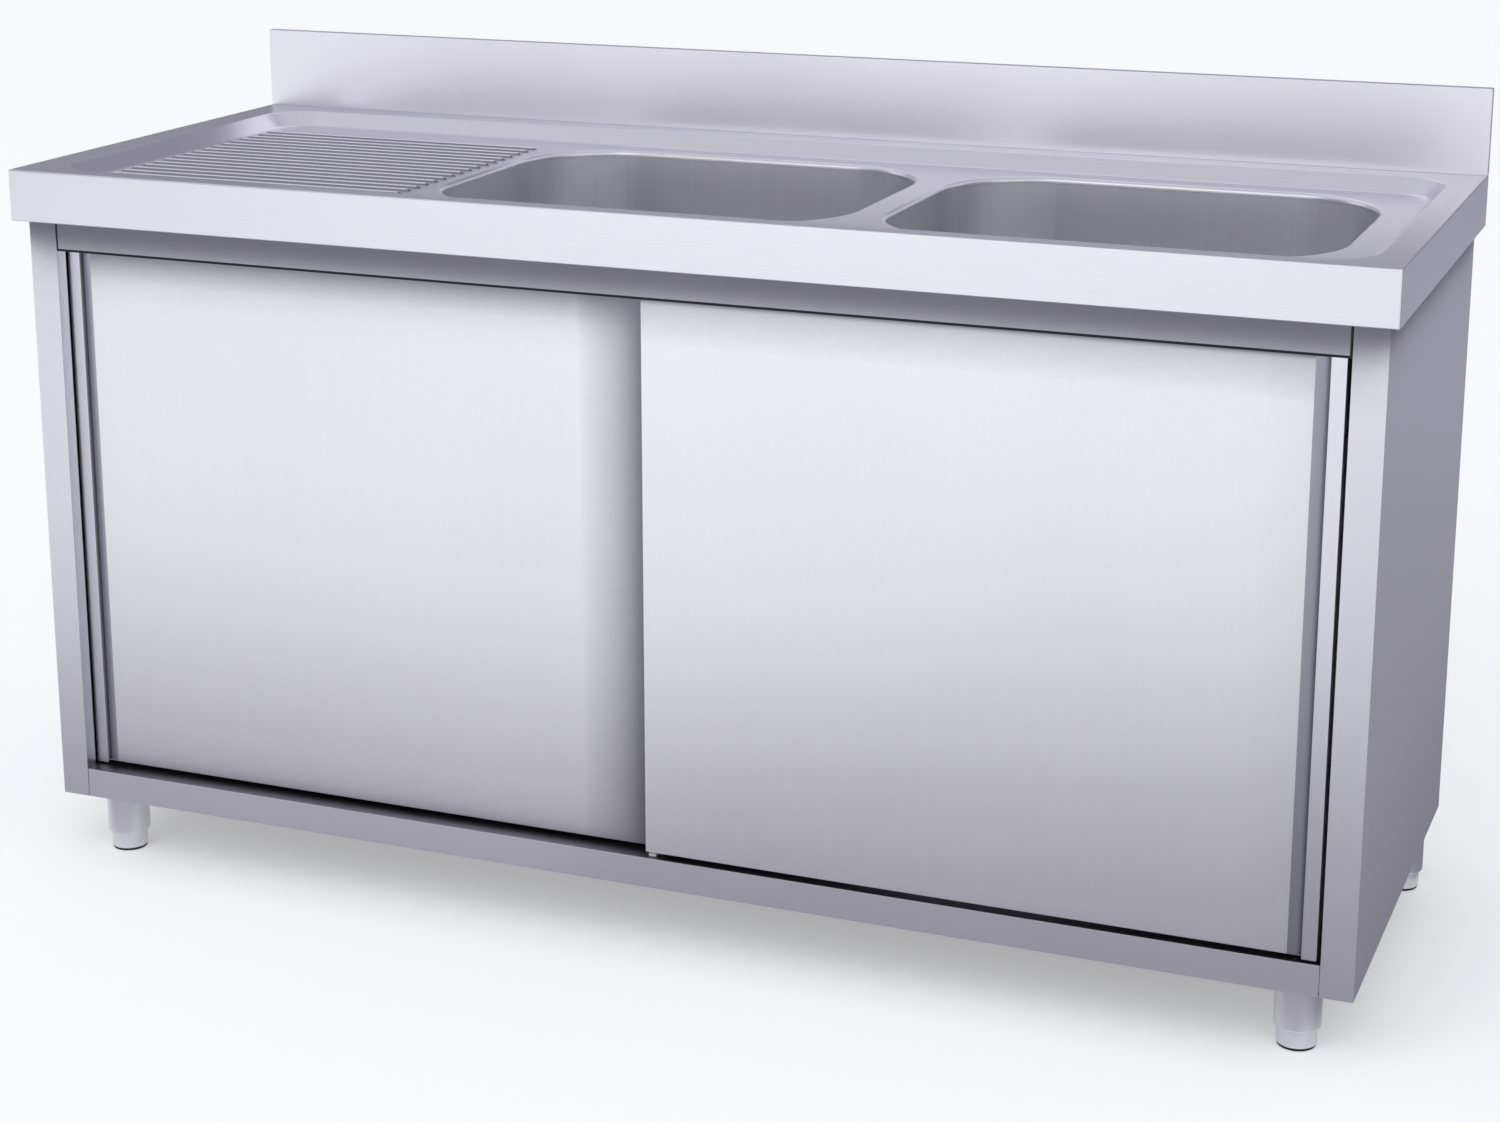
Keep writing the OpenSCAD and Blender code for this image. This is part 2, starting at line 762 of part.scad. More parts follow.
// Nylon plugs in the sleeves, which the feet screw into
module leg_plugs() {
    color(nylon) for (right = [-1, 1], rear = [0, 1])
        translate(leg_at(right, rear) + [0, 0, plug_z])
            ring(stem_r + pin_fit, leg_r - leg_wall - pin_fit, plug_h);
}

module foot(right, rear) {
    color([0.78, 0.78, 0.82]) translate(leg_at(right, rear)) {
        translate([0, 0, pad_h]) cylinder(r = foot_r, h = sleeve_h + foot_in - pad_h);
        translate([0, 0, sleeve_h]) cylinder(r = stem_r, h = plate_z - foot_up - loose - sleeve_h);
    }
}

module pad(right, rear) {
    color(rubber) translate(leg_at(right, rear)) cylinder(r = foot_r - pad_in, h = pad_h);
}

module front_left_foot() {
    foot(-1, 0);
}

module front_right_foot() {
    foot(1, 0);
}

module rear_left_foot() {
    foot(-1, 1);
}

module rear_right_foot() {
    foot(1, 1);
}

module front_left_pad() {
    pad(-1, 0);
}

module front_right_pad() {
    pad(1, 0);
}

module rear_left_pad() {
    pad(-1, 1);
}

module rear_right_pad() {
    pad(1, 1);
}

// Waste body with its flange on the bowl's floor and a spigot below
module waste(bx) {
    color(bright_steel) translate([bx, bowl_y, 0]) difference() {
        union() {
            translate([0, 0, bowl_z]) cylinder(r = waste_flange_r, h = waste_flange_t);
            translate([0, 0, waste_z]) cylinder(r = waste_r, h = bowl_z + waste_flange_t - waste_z);
            translate([0, 0, spigot_end]) cylinder(r = pipe_r, h = spigot_l + waste_wall);
        }
        translate([0, 0, waste_z + waste_wall]) cylinder(r = waste_r - waste_wall, h = waste_h + 2 * cut);
        translate([0, 0, spigot_end - cut]) cylinder(r = pipe_r - pipe_wall, h = spigot_l + 3 * waste_wall);
    }
}

module left_waste() {
    waste(left_bowl_x);
}

module right_waste() {
    waste(right_bowl_x);
}

module waste_gaskets() {
    color(rubber) for (bx = [left_bowl_x, right_bowl_x])
        translate([bx, bowl_y, bowl_z - bowl_sheet - gasket_t])
            ring(waste_r + pin_fit, waste_flange_r - gasket_in, gasket_t);
}

module waste_nuts() {
    color(nylon) for (bx = [left_bowl_x, right_bowl_x])
        translate([bx, bowl_y, bowl_z - bowl_sheet - gasket_t - nut_h])
            ring(waste_r + pin_fit, waste_flange_r - nut_in, nut_h);
}

// Lift-out basket with round holes in its floor and a knob
module strainer(bx) {
    basket_r = waste_r - waste_wall - loose;
    basket_h = waste_h - waste_wall - seat;
    ring_pitch = (basket_r - 2 * basket_hole_r) / (basket_rings + 0.5);
    color(steel) translate([bx, bowl_y, waste_z + waste_wall + seat]) {
        difference() {
            cylinder(r = basket_r, h = basket_h);
            translate([0, 0, basket_t]) cylinder(r = basket_r - basket_t, h = basket_h);
            for (k = [1:basket_rings], i = [0:6 * k - 1]) rotate([0, 0, 60 * i / k])
                translate([k * ring_pitch, 0, -cut]) cylinder(r = basket_hole_r, h = basket_t + 2 * cut);
        }
        cylinder(r = knob_r, h = basket_h - knob_h);
        translate([0, 0, basket_h - knob_h]) cylinder(r1 = knob_r, r2 = knob_top_r, h = knob_h);
    }
}

module left_strainer() {
    strainer(left_bowl_x);
}

module right_strainer() {
    strainer(right_bowl_x);
}

// Connecting pipe with a socket under each waste and a dip tube down into the trap
module manifold_solid(shrink) {
    r = pipe_r - shrink;
    for (bx = [left_bowl_x, right_bowl_x]) translate([bx, bowl_y, manifold_z])
        cylinder(r = r, h = spigot_end - manifold_z + shrink);
    translate([left_bowl_x, bowl_y, manifold_z]) along_x() cylinder(r = r, h = right_bowl_x - left_bowl_x);
    translate([trap_x, bowl_y, trap_top - dip_l - shrink])
        cylinder(r = r, h = manifold_z - trap_top + dip_l + shrink);
    for (bx = [left_bowl_x, right_bowl_x]) translate([bx, bowl_y, manifold_z]) sphere(r = r);
}

module waste_manifold() {
    color([0.93, 0.93, 0.92]) difference() {
        union() {
            manifold_solid(0);
            for (bx = [left_bowl_x, right_bowl_x]) translate([bx, bowl_y, spigot_end - collar_foot])
                cylinder(r = pipe_r + collar_t, h = collar_foot + collar_l / 2);
        }
        manifold_solid(pipe_wall);
        for (bx = [left_bowl_x, right_bowl_x]) translate([bx, bowl_y, spigot_end])
            cylinder(r = pipe_r + pin_fit, h = collar_l);
    }
}

// Slip nuts on the two sockets, on the trap's inlet and on its outlet
module slip_nuts() {
    color([0.85, 0.85, 0.84]) {
        for (bx = [left_bowl_x, right_bowl_x]) translate([bx, bowl_y, spigot_end + collar_l / 2])
            ring(pipe_r + pin_fit, pipe_r + collar_t + nut_t, collar_l / 2);
        translate([trap_x, bowl_y, trap_top]) ring(pipe_r + pin_fit, pipe_r + collar_t + nut_t, collar_l);
        translate([trap_x, bowl_y + trap_r + collar_l, outlet_z]) along_y()
            ring(pipe_r + pin_fit, pipe_r + collar_t + nut_t, collar_l);
    }
}

module trap_body() {
    color([0.93, 0.93, 0.92]) translate([trap_x, bowl_y, 0]) difference() {
        union() {
            translate([0, 0, trap_top - trap_h]) cylinder(r = trap_r, h = trap_h);
            translate([0, 0, outlet_z]) along_y() cylinder(r = pipe_r + collar_t, h = trap_r + collar_l);
        }
        translate([0, 0, trap_top - trap_h - cut])
            cylinder(r = trap_r - pipe_wall, h = trap_h - collar_t + cut);
        translate([0, 0, trap_top - 2 * collar_t]) cylinder(r = pipe_r + pin_fit, h = 3 * collar_t);
        translate([0, 0, outlet_z]) along_y() cylinder(r = pipe_r - pipe_wall, h = trap_r + collar_l + cut);
        translate([0, trap_r, outlet_z]) along_y() cylinder(r = pipe_r + pin_fit, h = collar_l + cut);
    }
}

module trap_cup() {
    z0 = trap_top - trap_h - cup_h + cup_lap;
    color([0.85, 0.85, 0.84]) translate([trap_x, bowl_y, z0]) difference() {
        cylinder(r = trap_r + nut_t, h = cup_h);
        translate([0, 0, cup_h - cup_lap]) cylinder(r = trap_r + pin_fit, h = cup_lap + cut);
        translate([0, 0, cup_floor]) cylinder(r = trap_r - pipe_wall, h = cup_h);
    }
}

// Pipe from the trap to the rear, with a socket that takes the next pipe
module outlet_pipe() {
    y0 = bowl_y + trap_r + seat;
    length = rear_y - outlet_back - y0;
    socket_r = pipe_r + socket_fit;
    color([0.93, 0.93, 0.92]) translate([trap_x, y0, outlet_z]) along_y() difference() {
        union() {
            cylinder(r = pipe_r, h = length);
            translate([0, 0, length - socket_l - pipe_wall])
                cylinder(r = socket_r + pipe_wall, h = socket_l + pipe_wall);
        }
        translate([0, 0, -cut]) cylinder(r = pipe_r - pipe_wall, h = length + 2 * cut);
        translate([0, 0, length - socket_l]) cylinder(r = socket_r, h = socket_l + cut);
    }
}

// A door's parts are drawn with the outer end on x = 0 and the face on y = 0
module left_place() {
    translate([left_door_x, rear_lane_y - door_t / 2, 0]) children();
}

module right_place() {
    translate([right_door_x, front_lane_y - door_t / 2, 0]) mirror([1, 0, 0]) children();
}

// Front sheet with a rolled edge beside the pull and folds round its other edges
module door_skin() {
    t = door_sheet;
    inner = door_t - t;
    c = pull_w + roll_w;
    steps = 8;
    outer_a = asin(roll_w / roll_r);
    inner_a = asin((roll_w - t) / (roll_r - t));
    function roll(r, a) = [c - r * sin(a), roll_r - r * cos(a)];
    sheet = concat(
        [[pull_w, inner]],
        [for (i = [0:steps]) roll(roll_r, outer_a * (1 - i / steps))],
        [[door_w, 0], [door_w, inner], [door_w - t, inner], [door_w - t, t]],
        [for (i = [0:steps]) roll(roll_r - t, inner_a * i / steps)],
        [[pull_w + t, inner]]);
    difference() {
        union() {
            translate([0, 0, door_z]) linear_extrude(door_top - door_z) polygon(sheet);
            block([pull_w, door_w], [0, inner], [door_z, door_z + t]);
            block([pull_w, door_w], [0, inner], [door_top - t, door_top]);
        }
        // Slot that the bottom guide's tongue runs in
        block([pull_w + t, door_w - t], [(door_t - tongue_t) / 2 - loose, (door_t + tongue_t) / 2 + loose],
            [door_z - cut, door_z + t + cut / 10]);
        door_screw_places() cylinder(r = door_screw_r + pin_fit, h = 3 * cut + t, center = true);
    }
}

// Square tube on the door's outer edge, which the fingers pull
module door_pull() {
    z0 = door_z - pull_drop;
    difference() {
        block([0, pull_w], [0, door_t], [z0, door_top]);
        block([door_sheet, pull_w - door_sheet], [door_sheet, door_t - door_sheet],
            [z0 - cut, door_top + cut]);
    }
}

module door_back() {
    block([pull_w, door_w], [door_t - door_sheet, door_t], [door_z, door_top]);
}

// Stiff core between the sheets, open at the top and bottom for the screws and the guide
module door_core() {
    block([pull_w + roll_w, door_w - door_sheet], [door_sheet, door_t - door_sheet],
        [shelf_z + tongue_h + core_gap, door_top - hanger_room - core_gap]);
}

// On the hanger feet, two screws each
module door_screw_places() {
    y = door_t / 2 + hanger_y - hanger_foot_w / 2;
    for (u = hanger_places, s = [-1, 1])
        translate([u + s * (hanger_l / 2 - door_screw_edge), y, door_top]) children();
}

module door_hangers() {
    y1 = door_t / 2 + hanger_y + hanger_t;
    difference() {
        for (u = hanger_places) {
            block([u - hanger_l / 2, u + hanger_l / 2], [y1 - hanger_foot_w, y1],
                [door_top, door_top + hanger_t]);
            block([u - hanger_l / 2, u + hanger_l / 2], [y1 - hanger_t, y1],
                [door_top, roller_z + axle_head_r + hanger_rim]);
        }
        for (u = hanger_places) translate([u, y1 - hanger_t - cut, roller_z]) along_y()
            cylinder(r = axle_r + pin_fit, h = hanger_t + 2 * cut);
        door_screw_places() translate([0, 0, -cut])
            cylinder(r = door_screw_r + pin_fit, h = hanger_t + 2 * cut);
    }
}

module door_screws() {
    door_screw_places() {
        translate([0, 0, -hanger_room]) cylinder(r = door_screw_r, h = hanger_room + hanger_t);
        translate([0, 0, hanger_t]) cylinder(r = door_screw_head_r, h = door_screw_head_h);
    }
}

// Riveted axles: a head in front of the roller and a shoulder between the roller and the hanger
module door_axles() {
    head_y = door_t / 2 + roller_y - roller_w / 2 - roller_side - axle_head_t;
    shoulder_y = door_t / 2 + roller_y + roller_w / 2 + roller_side;
    leg_y = door_t / 2 + hanger_y;
    for (u = hanger_places) translate([u, 0, roller_z]) {
        translate([0, head_y, 0]) along_y() cylinder(r = axle_head_r, h = axle_head_t);
        translate([0, head_y, 0]) along_y() cylinder(r = axle_r, h = leg_y + hanger_t - head_y);
        translate([0, shoulder_y, 0]) along_y() cylinder(r = axle_head_r, h = leg_y - shoulder_y);
    }
}

module roller(u) {
    translate([u, door_t / 2 + roller_y - roller_w / 2, roller_z]) along_y()
        ring(axle_r + pin_fit, roller_r, roller_w);
}

module left_door_skin() {
    color(steel) left_place() door_skin();
}

module left_door_pull() {
    color(steel) left_place() door_pull();
}

module left_door_back() {
    color(shaded_steel) left_place() door_back();
}

module left_door_core() {
    color([0.85, 0.80, 0.68]) left_place() door_core();
}

module left_door_hangers() {
    color(shaded_steel) left_place() door_hangers();
}

module left_door_axles() {
    color(bright_steel) left_place() door_axles();
}

module left_door_screws() {
    color(bright_steel) left_place() door_screws();
}

module left_outer_roller() {
    color(nylon) left_place() roller(hanger_places[0]);
}

module left_inner_roller() {
    color(nylon) left_place() roller(hanger_places[1]);
}

module right_door_skin() {
    color(steel) right_place() door_skin();
}

module right_door_pull() {
    color(steel) right_place() door_pull();
}

module right_door_back() {
    color(shaded_steel) right_place() door_back();
}

module right_door_core() {
    color([0.85, 0.80, 0.68]) right_place() door_core();
}

module right_door_hangers() {
    color(shaded_steel) right_place() door_hangers();
}

module right_door_axles() {
    color(bright_steel) right_place() door_axles();
}

module right_door_screws() {
    color(bright_steel) right_place() door_screws();
}

module right_outer_roller() {
    color(nylon) right_place() roller(hanger_places[0]);
}

module right_inner_roller() {
    color(nylon) right_place() roller(hanger_places[1]);
}

worktop();
splashback();
left_bowl();
right_bowl();
drainer_stiffeners();
left_side_panel();
right_side_panel();
rear_panel();
rear_panel_rivets();
front_top_rail();
door_track();
track_screws();
track_stops();
base_shelf();
shelf_stiffener();
bottom_guide();
front_left_leg();
front_right_leg();
rear_left_leg();
rear_right_leg();
leg_plugs();
leg_screws();
front_left_foot();
front_right_foot();
rear_left_foot();
rear_right_foot();
front_left_pad();
front_right_pad();
rear_left_pad();
rear_right_pad();
left_waste();
right_waste();
waste_gaskets();
waste_nuts();
left_strainer();
right_strainer();
waste_manifold();
slip_nuts();
trap_body();
trap_cup();
outlet_pipe();
left_door_skin();
left_door_pull();
left_door_back();
left_door_core();
left_door_hangers();
left_door_axles();
left_door_screws();
left_outer_roller();
left_inner_roller();
right_door_skin();
right_door_pull();
right_door_back();
right_door_core();
right_door_hangers();
right_door_axles();
right_door_screws();
right_outer_roller();
right_inner_roller();
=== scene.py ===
"""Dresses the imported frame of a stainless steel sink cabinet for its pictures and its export.

The CAD frame holds every solid in one row frame: +X runs right along the worktop, +Y to the
rear and +Z up, in metres, with the origin on the floor under the middle of the worktop. This
script adds the pressed and rolled sheet forms, rounds the folded edges, and gives every piece
the finish of its real material.
"""

import logging
import math
from dataclasses import dataclass
from enum import Enum
from typing import Iterable, Optional, Sequence, Union

import bmesh
import bpy
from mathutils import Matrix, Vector


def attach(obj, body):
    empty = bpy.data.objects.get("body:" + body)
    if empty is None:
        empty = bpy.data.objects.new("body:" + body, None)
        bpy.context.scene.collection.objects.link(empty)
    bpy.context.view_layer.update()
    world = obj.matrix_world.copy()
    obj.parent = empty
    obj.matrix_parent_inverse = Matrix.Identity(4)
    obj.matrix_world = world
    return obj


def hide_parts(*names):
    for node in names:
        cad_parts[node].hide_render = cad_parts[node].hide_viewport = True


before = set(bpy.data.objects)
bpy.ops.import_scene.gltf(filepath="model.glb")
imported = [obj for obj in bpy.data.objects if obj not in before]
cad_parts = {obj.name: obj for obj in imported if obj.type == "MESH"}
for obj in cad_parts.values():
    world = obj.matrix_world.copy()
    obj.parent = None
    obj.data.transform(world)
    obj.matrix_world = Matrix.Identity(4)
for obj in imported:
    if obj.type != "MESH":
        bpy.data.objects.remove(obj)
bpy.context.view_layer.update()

log = logging.getLogger("sink_cabinet")

MM = 0.001
CARCASS = "carcass"
# Half the width between the outer faces of the side panels, less a little
JAMB_LIMIT = 786 * MM
# A face whose unit normal has more than this along X looks sideways
SIDEWAYS = 0.7
# Least radius in millimetres of a ring's corners
LEAST_CORNER = 0.3
# Copied solids: distance of points that become one, the degrees that neighbouring faces may turn
# and still count as one flat face, and the least degrees of an edge that gets rounded
WELD_DISTANCE = 0.002 * MM
FLAT_TURN = 0.4
ROUNDED_TURN = 40

# Tones of the painted shade on the steel, in the full shade of an overhang and deep in a seam
SHADE_TONE = "77767f"
SEAM_SHADE_TONE = "34343a"
# Tone of the dark joint lines at the rail's ends, and of the painted shadow along its lower edge
JOINT_AND_SHADOW_TONE = "2e2e33"

Tree = bpy.types.NodeTree
Socket = bpy.types.NodeSocket
Material = bpy.types.Material
Thing = bpy.types.Object
Mesh = bmesh.types.BMesh
Corners = list[bmesh.types.BMVert]
Span = tuple[float, float]
Point = tuple[float, float, float]
Ring = list[Point]


class Slot(str, Enum):
    """Material slots of the record."""

    SATIN = "satin_stainless"
    POLISHED = "polished_stainless"
    FASTENER = "fastener_steel"
    RUBBER = "black_rubber"


class Grain(Enum):
    """Direction that a sheet was ground along."""

    ALONG_X = 0
    ALONG_Z = 2


class Axis(Enum):
    """Direction of the axis that a turned piece was turned round."""

    UPRIGHT = "up"
    REARWARD = "to the rear"


# Colours and shader nodes


def linear(hex_colour: str) -> tuple[float, float, float, float]:
    """Turns six sRGB hex digits into Blender's linear colour, with an alpha of one."""
    channels = [int(hex_colour[i : i + 2], 16) / 255 for i in (0, 2, 4)]
    curve = [c / 12.92 if c <= 0.04045 else ((c + 0.055) / 1.055) ** 2.4 for c in channels]
    return (curve[0], curve[1], curve[2], 1.0)


def add_node(
    tree: Tree,
    kind: str,
    settings: Optional[dict[str, object]] = None,
    inputs: Optional[dict[object, object]] = None,
    links: Optional[dict[object, Socket]] = None,
) -> bpy.types.Node:
    """Adds a node with its settings, input values and incoming links.

    Args:
        tree: node tree that the node joins.
        kind: Blender's name of the node type.
        settings: properties of the node itself.
        inputs: values by input name or index.
        links: output sockets by input name or index.

    Returns:
        The new node.
    """
    node = tree.nodes.new(kind)
    for key, value in (settings or {}).items():
        setattr(node, key, value)
    for key, value in (inputs or {}).items():
        node.inputs[key].default_value = value
    for key, socket in (links or {}).items():
        tree.links.new(socket, node.inputs[key])
    return node


def empty_tree(owner: Union[Material, bpy.types.World]) -> Tree:
    """Gives a material or world an empty node tree and returns the tree."""
    owner.use_nodes = True
    owner.node_tree.nodes.clear()
    return owner.node_tree


def calculate(tree: Tree, operation: str, *operands: Union[float, Socket]) -> Socket:
    """Adds a maths node for its operands, numbers or sockets, and returns the result."""
    node = add_node(tree, "ShaderNodeMath", settings={"operation": operation})
    for socket, operand in zip(node.inputs, operands):
        if isinstance(operand, Socket):
            tree.links.new(operand, socket)
        else:
            socket.default_value = operand
    return node.outputs[0]


def blend(
    tree: Tree, share: Socket, first: Union[str, Socket], second: Union[str, Socket]
) -> Socket:
    """Blends two colours, each given as an sRGB hex value or a socket.

    Args:
        tree: node tree that the node joins.
        share: share of the second colour.
        first: colour where the share is zero.
        second: colour where the share is one.

    Returns:
        The blended colour.
    """
    node = add_node(tree, "ShaderNodeMix", {"data_type": "RGBA"}, links={"Factor": share})
    # The node's colours are its inputs 6 and 7 and its output 2
    for key, colour in ((6, first), (7, second)):
        if isinstance(colour, str):
            node.inputs[key].default_value = linear(colour)
        else:
            tree.links.new(colour, node.inputs[key])
    return node.outputs[2]


def rescale(tree: Tree, value: Socket, source: Span, target: Span = (0.0, 1.0)) -> Socket:
    """Maps a value from the source range to the target range and clamps it there."""
    ends = ("From Min", "From Max", "To Min", "To Max")
    inputs = dict(zip(ends, source + target))
    return add_node(tree, "ShaderNodeMapRange", inputs=inputs, links={"Value": value}).outputs[0]


def add_noise(tree: Tree, place: Socket, size: float, detail: float, rough: float = 0.5) -> Socket:
    """Adds a noise whose largest spots are size metres wide, with layers of finer detail."""
    inputs = {"Scale": 1 / size, "Detail": detail, "Roughness": rough}
    noise = add_node(tree, "ShaderNodeTexNoise", inputs=inputs, links={"Vector": place})
    return noise.outputs["Fac"]


def open_sky(tree: Tree, samples: int, reach: float, towards: Optional[Socket] = None) -> Socket:
    """Finds the share of the sky that nothing within reach hides, towards a direction."""
    links = {"Normal": towards} if towards else {}
    sky = add_node(
        tree, "ShaderNodeAmbientOcclusion", {"samples": samples}, {"Distance": reach}, links
    )
    return sky.outputs["AO"]


def end_in_surface(
    tree: Tree,
    values: dict[str, float],
    colour: Socket,
    rough: Socket,
    height: Socket,
    relief: Span,
) -> None:
    """Ends a material in a principled shader with a fine relief.

    Args:
        tree: the material's node tree.
        values: the shader's fixed values.
        colour: its colour.
        rough: its roughness.
        height: pattern of the relief.
        relief: strength of the relief and its depth in metres.
    """
    inputs = {"Strength": relief[0], "Distance": relief[1]}
    bump = add_node(tree, "ShaderNodeBump", inputs=inputs, links={"Height": height})
    links = {"Base Color": colour, "Roughness": rough, "Normal": bump.outputs["Normal"]}
    shader = add_node(tree, "ShaderNodeBsdfPrincipled", inputs=values, links=links)
    add_node(tree, "ShaderNodeOutputMaterial", links={"Surface": shader.outputs[0]})


@dataclass(frozen=True)
class Patch:
    """Part of a sheet that shows another tone than the rest, such as painted shade or a dark joint
    line.

    Each limit is an axis, 0 for X, 1 for Y or 2 for Z, with its lowest and highest millimetre.
    """

    tone: str
    limits: tuple[tuple[int, float, float], ...]

    def mask(self, tree: Tree, place: Socket) -> Socket:
        """Marks the patch with one and the rest of the sheet with zero."""
        along = add_node(tree, "ShaderNodeSeparateXYZ", links={0: place}).outputs
        inside = None
        for axis, low, high in self.limits:
            middle, reach = (low + high) / 2 * MM, (high - low) / 2 * MM
            within = calculate(tree, "COMPARE", along[axis], middle, reach)
            inside = calculate(tree, "MULTIPLY", inside, within) if inside else within
        return inside


@dataclass(frozen=True)
class SatinSteel:
    """Austenitic stainless steel sheet, ground along one direction to a satin.

    The belt leaves fine parallel scratches, which spread reflections across the grain and make
    the surface read as soft light and dark bands instead of as a mirror.
    """

    name: str
    tone: str = "e9e8ee"
    shade: str = "dedde4"
    grain: Grain = Grain.ALONG_X
    roughness: float = 0.42
    roughness_spread: float = 0.06
    # A 240 grit belt leaves lines of about 0.06 mm. They are drawn 1.2 mm wide, so that a
    # picture of the whole cabinet still shows them.
    line_width: float = 1.2 * MM
    line_stretch: float = 90.0
    cloud_size: float = 260 * MM
    scratch_depth: float = 0.02 * MM
    scratch_strength: float = 0.25
    # Reach of the soft shade under the worktop's overhang, or 0 for none, how fast it deepens,
    # the side that the light comes from, and the share of the sky that an open face sees there
    shade_reach: float = 0.0
    shade_power: float = 2.4
    shade_side: Point = (0.0, 0.0, 1.0)
    shade_open: float = 0.76
    shade_samples: int = 24
    # Reach of the painted shade in a seam or on the sheet under an edge that lies on it, or 0 for
    # none, and the shares of open sky between which the painted shade fades
    seam_shade_reach: float = 0.0
    seam_shade_fade: Span = (0.35, 0.7)
    seam_shade_samples: int = 8
    # Parts of another tone, such as painted shade on a rolled edge, a dark joint line or a painted
    # shadow under an edge
    patches: tuple[Patch, ...] = ()

    def build(self) -> Material:
        """Makes the material.

        Returns:
            The node material.
        """
        material = bpy.data.materials.new(self.name)
        tree = empty_tree(material)
        place = add_node(tree, "ShaderNodeTexCoord").outputs["Object"]
        stretch = [1.0, 1.0, 1.0]
        stretch[self.grain.value] = 1 / self.line_stretch
        along = add_node(tree, "ShaderNodeMapping", None, {"Scale": stretch}, {"Vector": place})
        lines = add_noise(tree, along.outputs[0], self.line_width, detail=3.0, rough=0.6)
        clouds = add_noise(tree, place, self.cloud_size, detail=2.0)
        colour = blend(tree, lines, self.shade, self.tone)
        if self.shade_reach > 0:
            colour = self.shaded(tree, colour)
        for patch in self.patches:
            colour = blend(tree, patch.mask(tree, place), colour, patch.tone)
        # Painted shade in seams and under edges that lie on the sheet
        if self.seam_shade_reach > 0:
            colour = self.seam_shaded(tree, colour)
        # Two noises about one half each, so their sum lies about one
        both = calculate(tree, "ADD", lines, clouds)
        spread = self.roughness_spread / 2
        target = (self.roughness - spread, self.roughness + spread)
        rough = rescale(tree, both, (0.6, 1.4), target)
        relief = (self.scratch_strength, self.scratch_depth)
        end_in_surface(tree, {"Metallic": 1.0}, colour, rough, lines, relief)
        return material

    def shaded(self, tree: Tree, colour: Socket) -> Socket:
        """Darkens the steel where an overhang keeps the light from above off it.

        Args:
            tree: the material's node tree.
            colour: colour of the open surface.

        Returns:
            The shaded colour.
        """
        kind = "ShaderNodeVectorMath"
        facing = {0: add_node(tree, "ShaderNodeNewGeometry").outputs["Normal"]}
        leaning = add_node(tree, kind, {"operation": "ADD"}, {1: self.shade_side}, facing)
        leaning = add_node(tree, kind, {"operation": "NORMALIZE"}, links={0: leaning.outputs[0]})
        share = open_sky(tree, self.shade_samples, self.shade_reach, leaning.outputs[0])
        level = rescale(tree, share, (0.0, self.shade_open))
        falloff = calculate(tree, "POWER", level, self.shade_power)
        return blend(tree, falloff, SHADE_TONE, colour)

    def seam_shaded(self, tree: Tree, colour: Socket) -> Socket:
        """Paints shade on the steel in the narrow gaps beside and under other pieces."""
        share = open_sky(tree, self.seam_shade_samples, self.seam_shade_reach)
        return blend(tree, rescale(tree, share, self.seam_shade_fade), SEAM_SHADE_TONE, colour)


@dataclass(frozen=True)
class PlainFinish:
    """A moulded, drawn or extruded material with a fine even texture."""

    name: str
    tone: str
    shade: str
    roughness: float
    metallic: float = 0.0
    speck_size: float = 0.8 * MM
    speck_depth: float = 0.02 * MM
    speck_strength: float = 0.4
    roughness_spread: float = 0.08
    ior: float = 1.5

    def build(self) -> Material:
        """Makes the material.

        Returns:
            The node material.
        """
        material = bpy.data.materials.new(self.name)
        tree = empty_tree(material)
        place = add_node(tree, "ShaderNodeTexCoord").outputs["Object"]
        specks = add_noise(tree, place, self.speck_size, detail=4.0)
        colour = blend(tree, specks, self.shade, self.tone)
        spread = self.roughness_spread / 2
        target = (self.roughness - spread, self.roughness + spread)
        rough = rescale(tree, specks, (0.0, 1.0), target)
        values = {"Metallic": self.metallic}
        if self.metallic == 0:
            values["IOR"] = self.ior
        relief = (self.speck_strength, self.speck_depth)
        end_in_surface(tree, values, colour, rough, specks, relief)
        return material


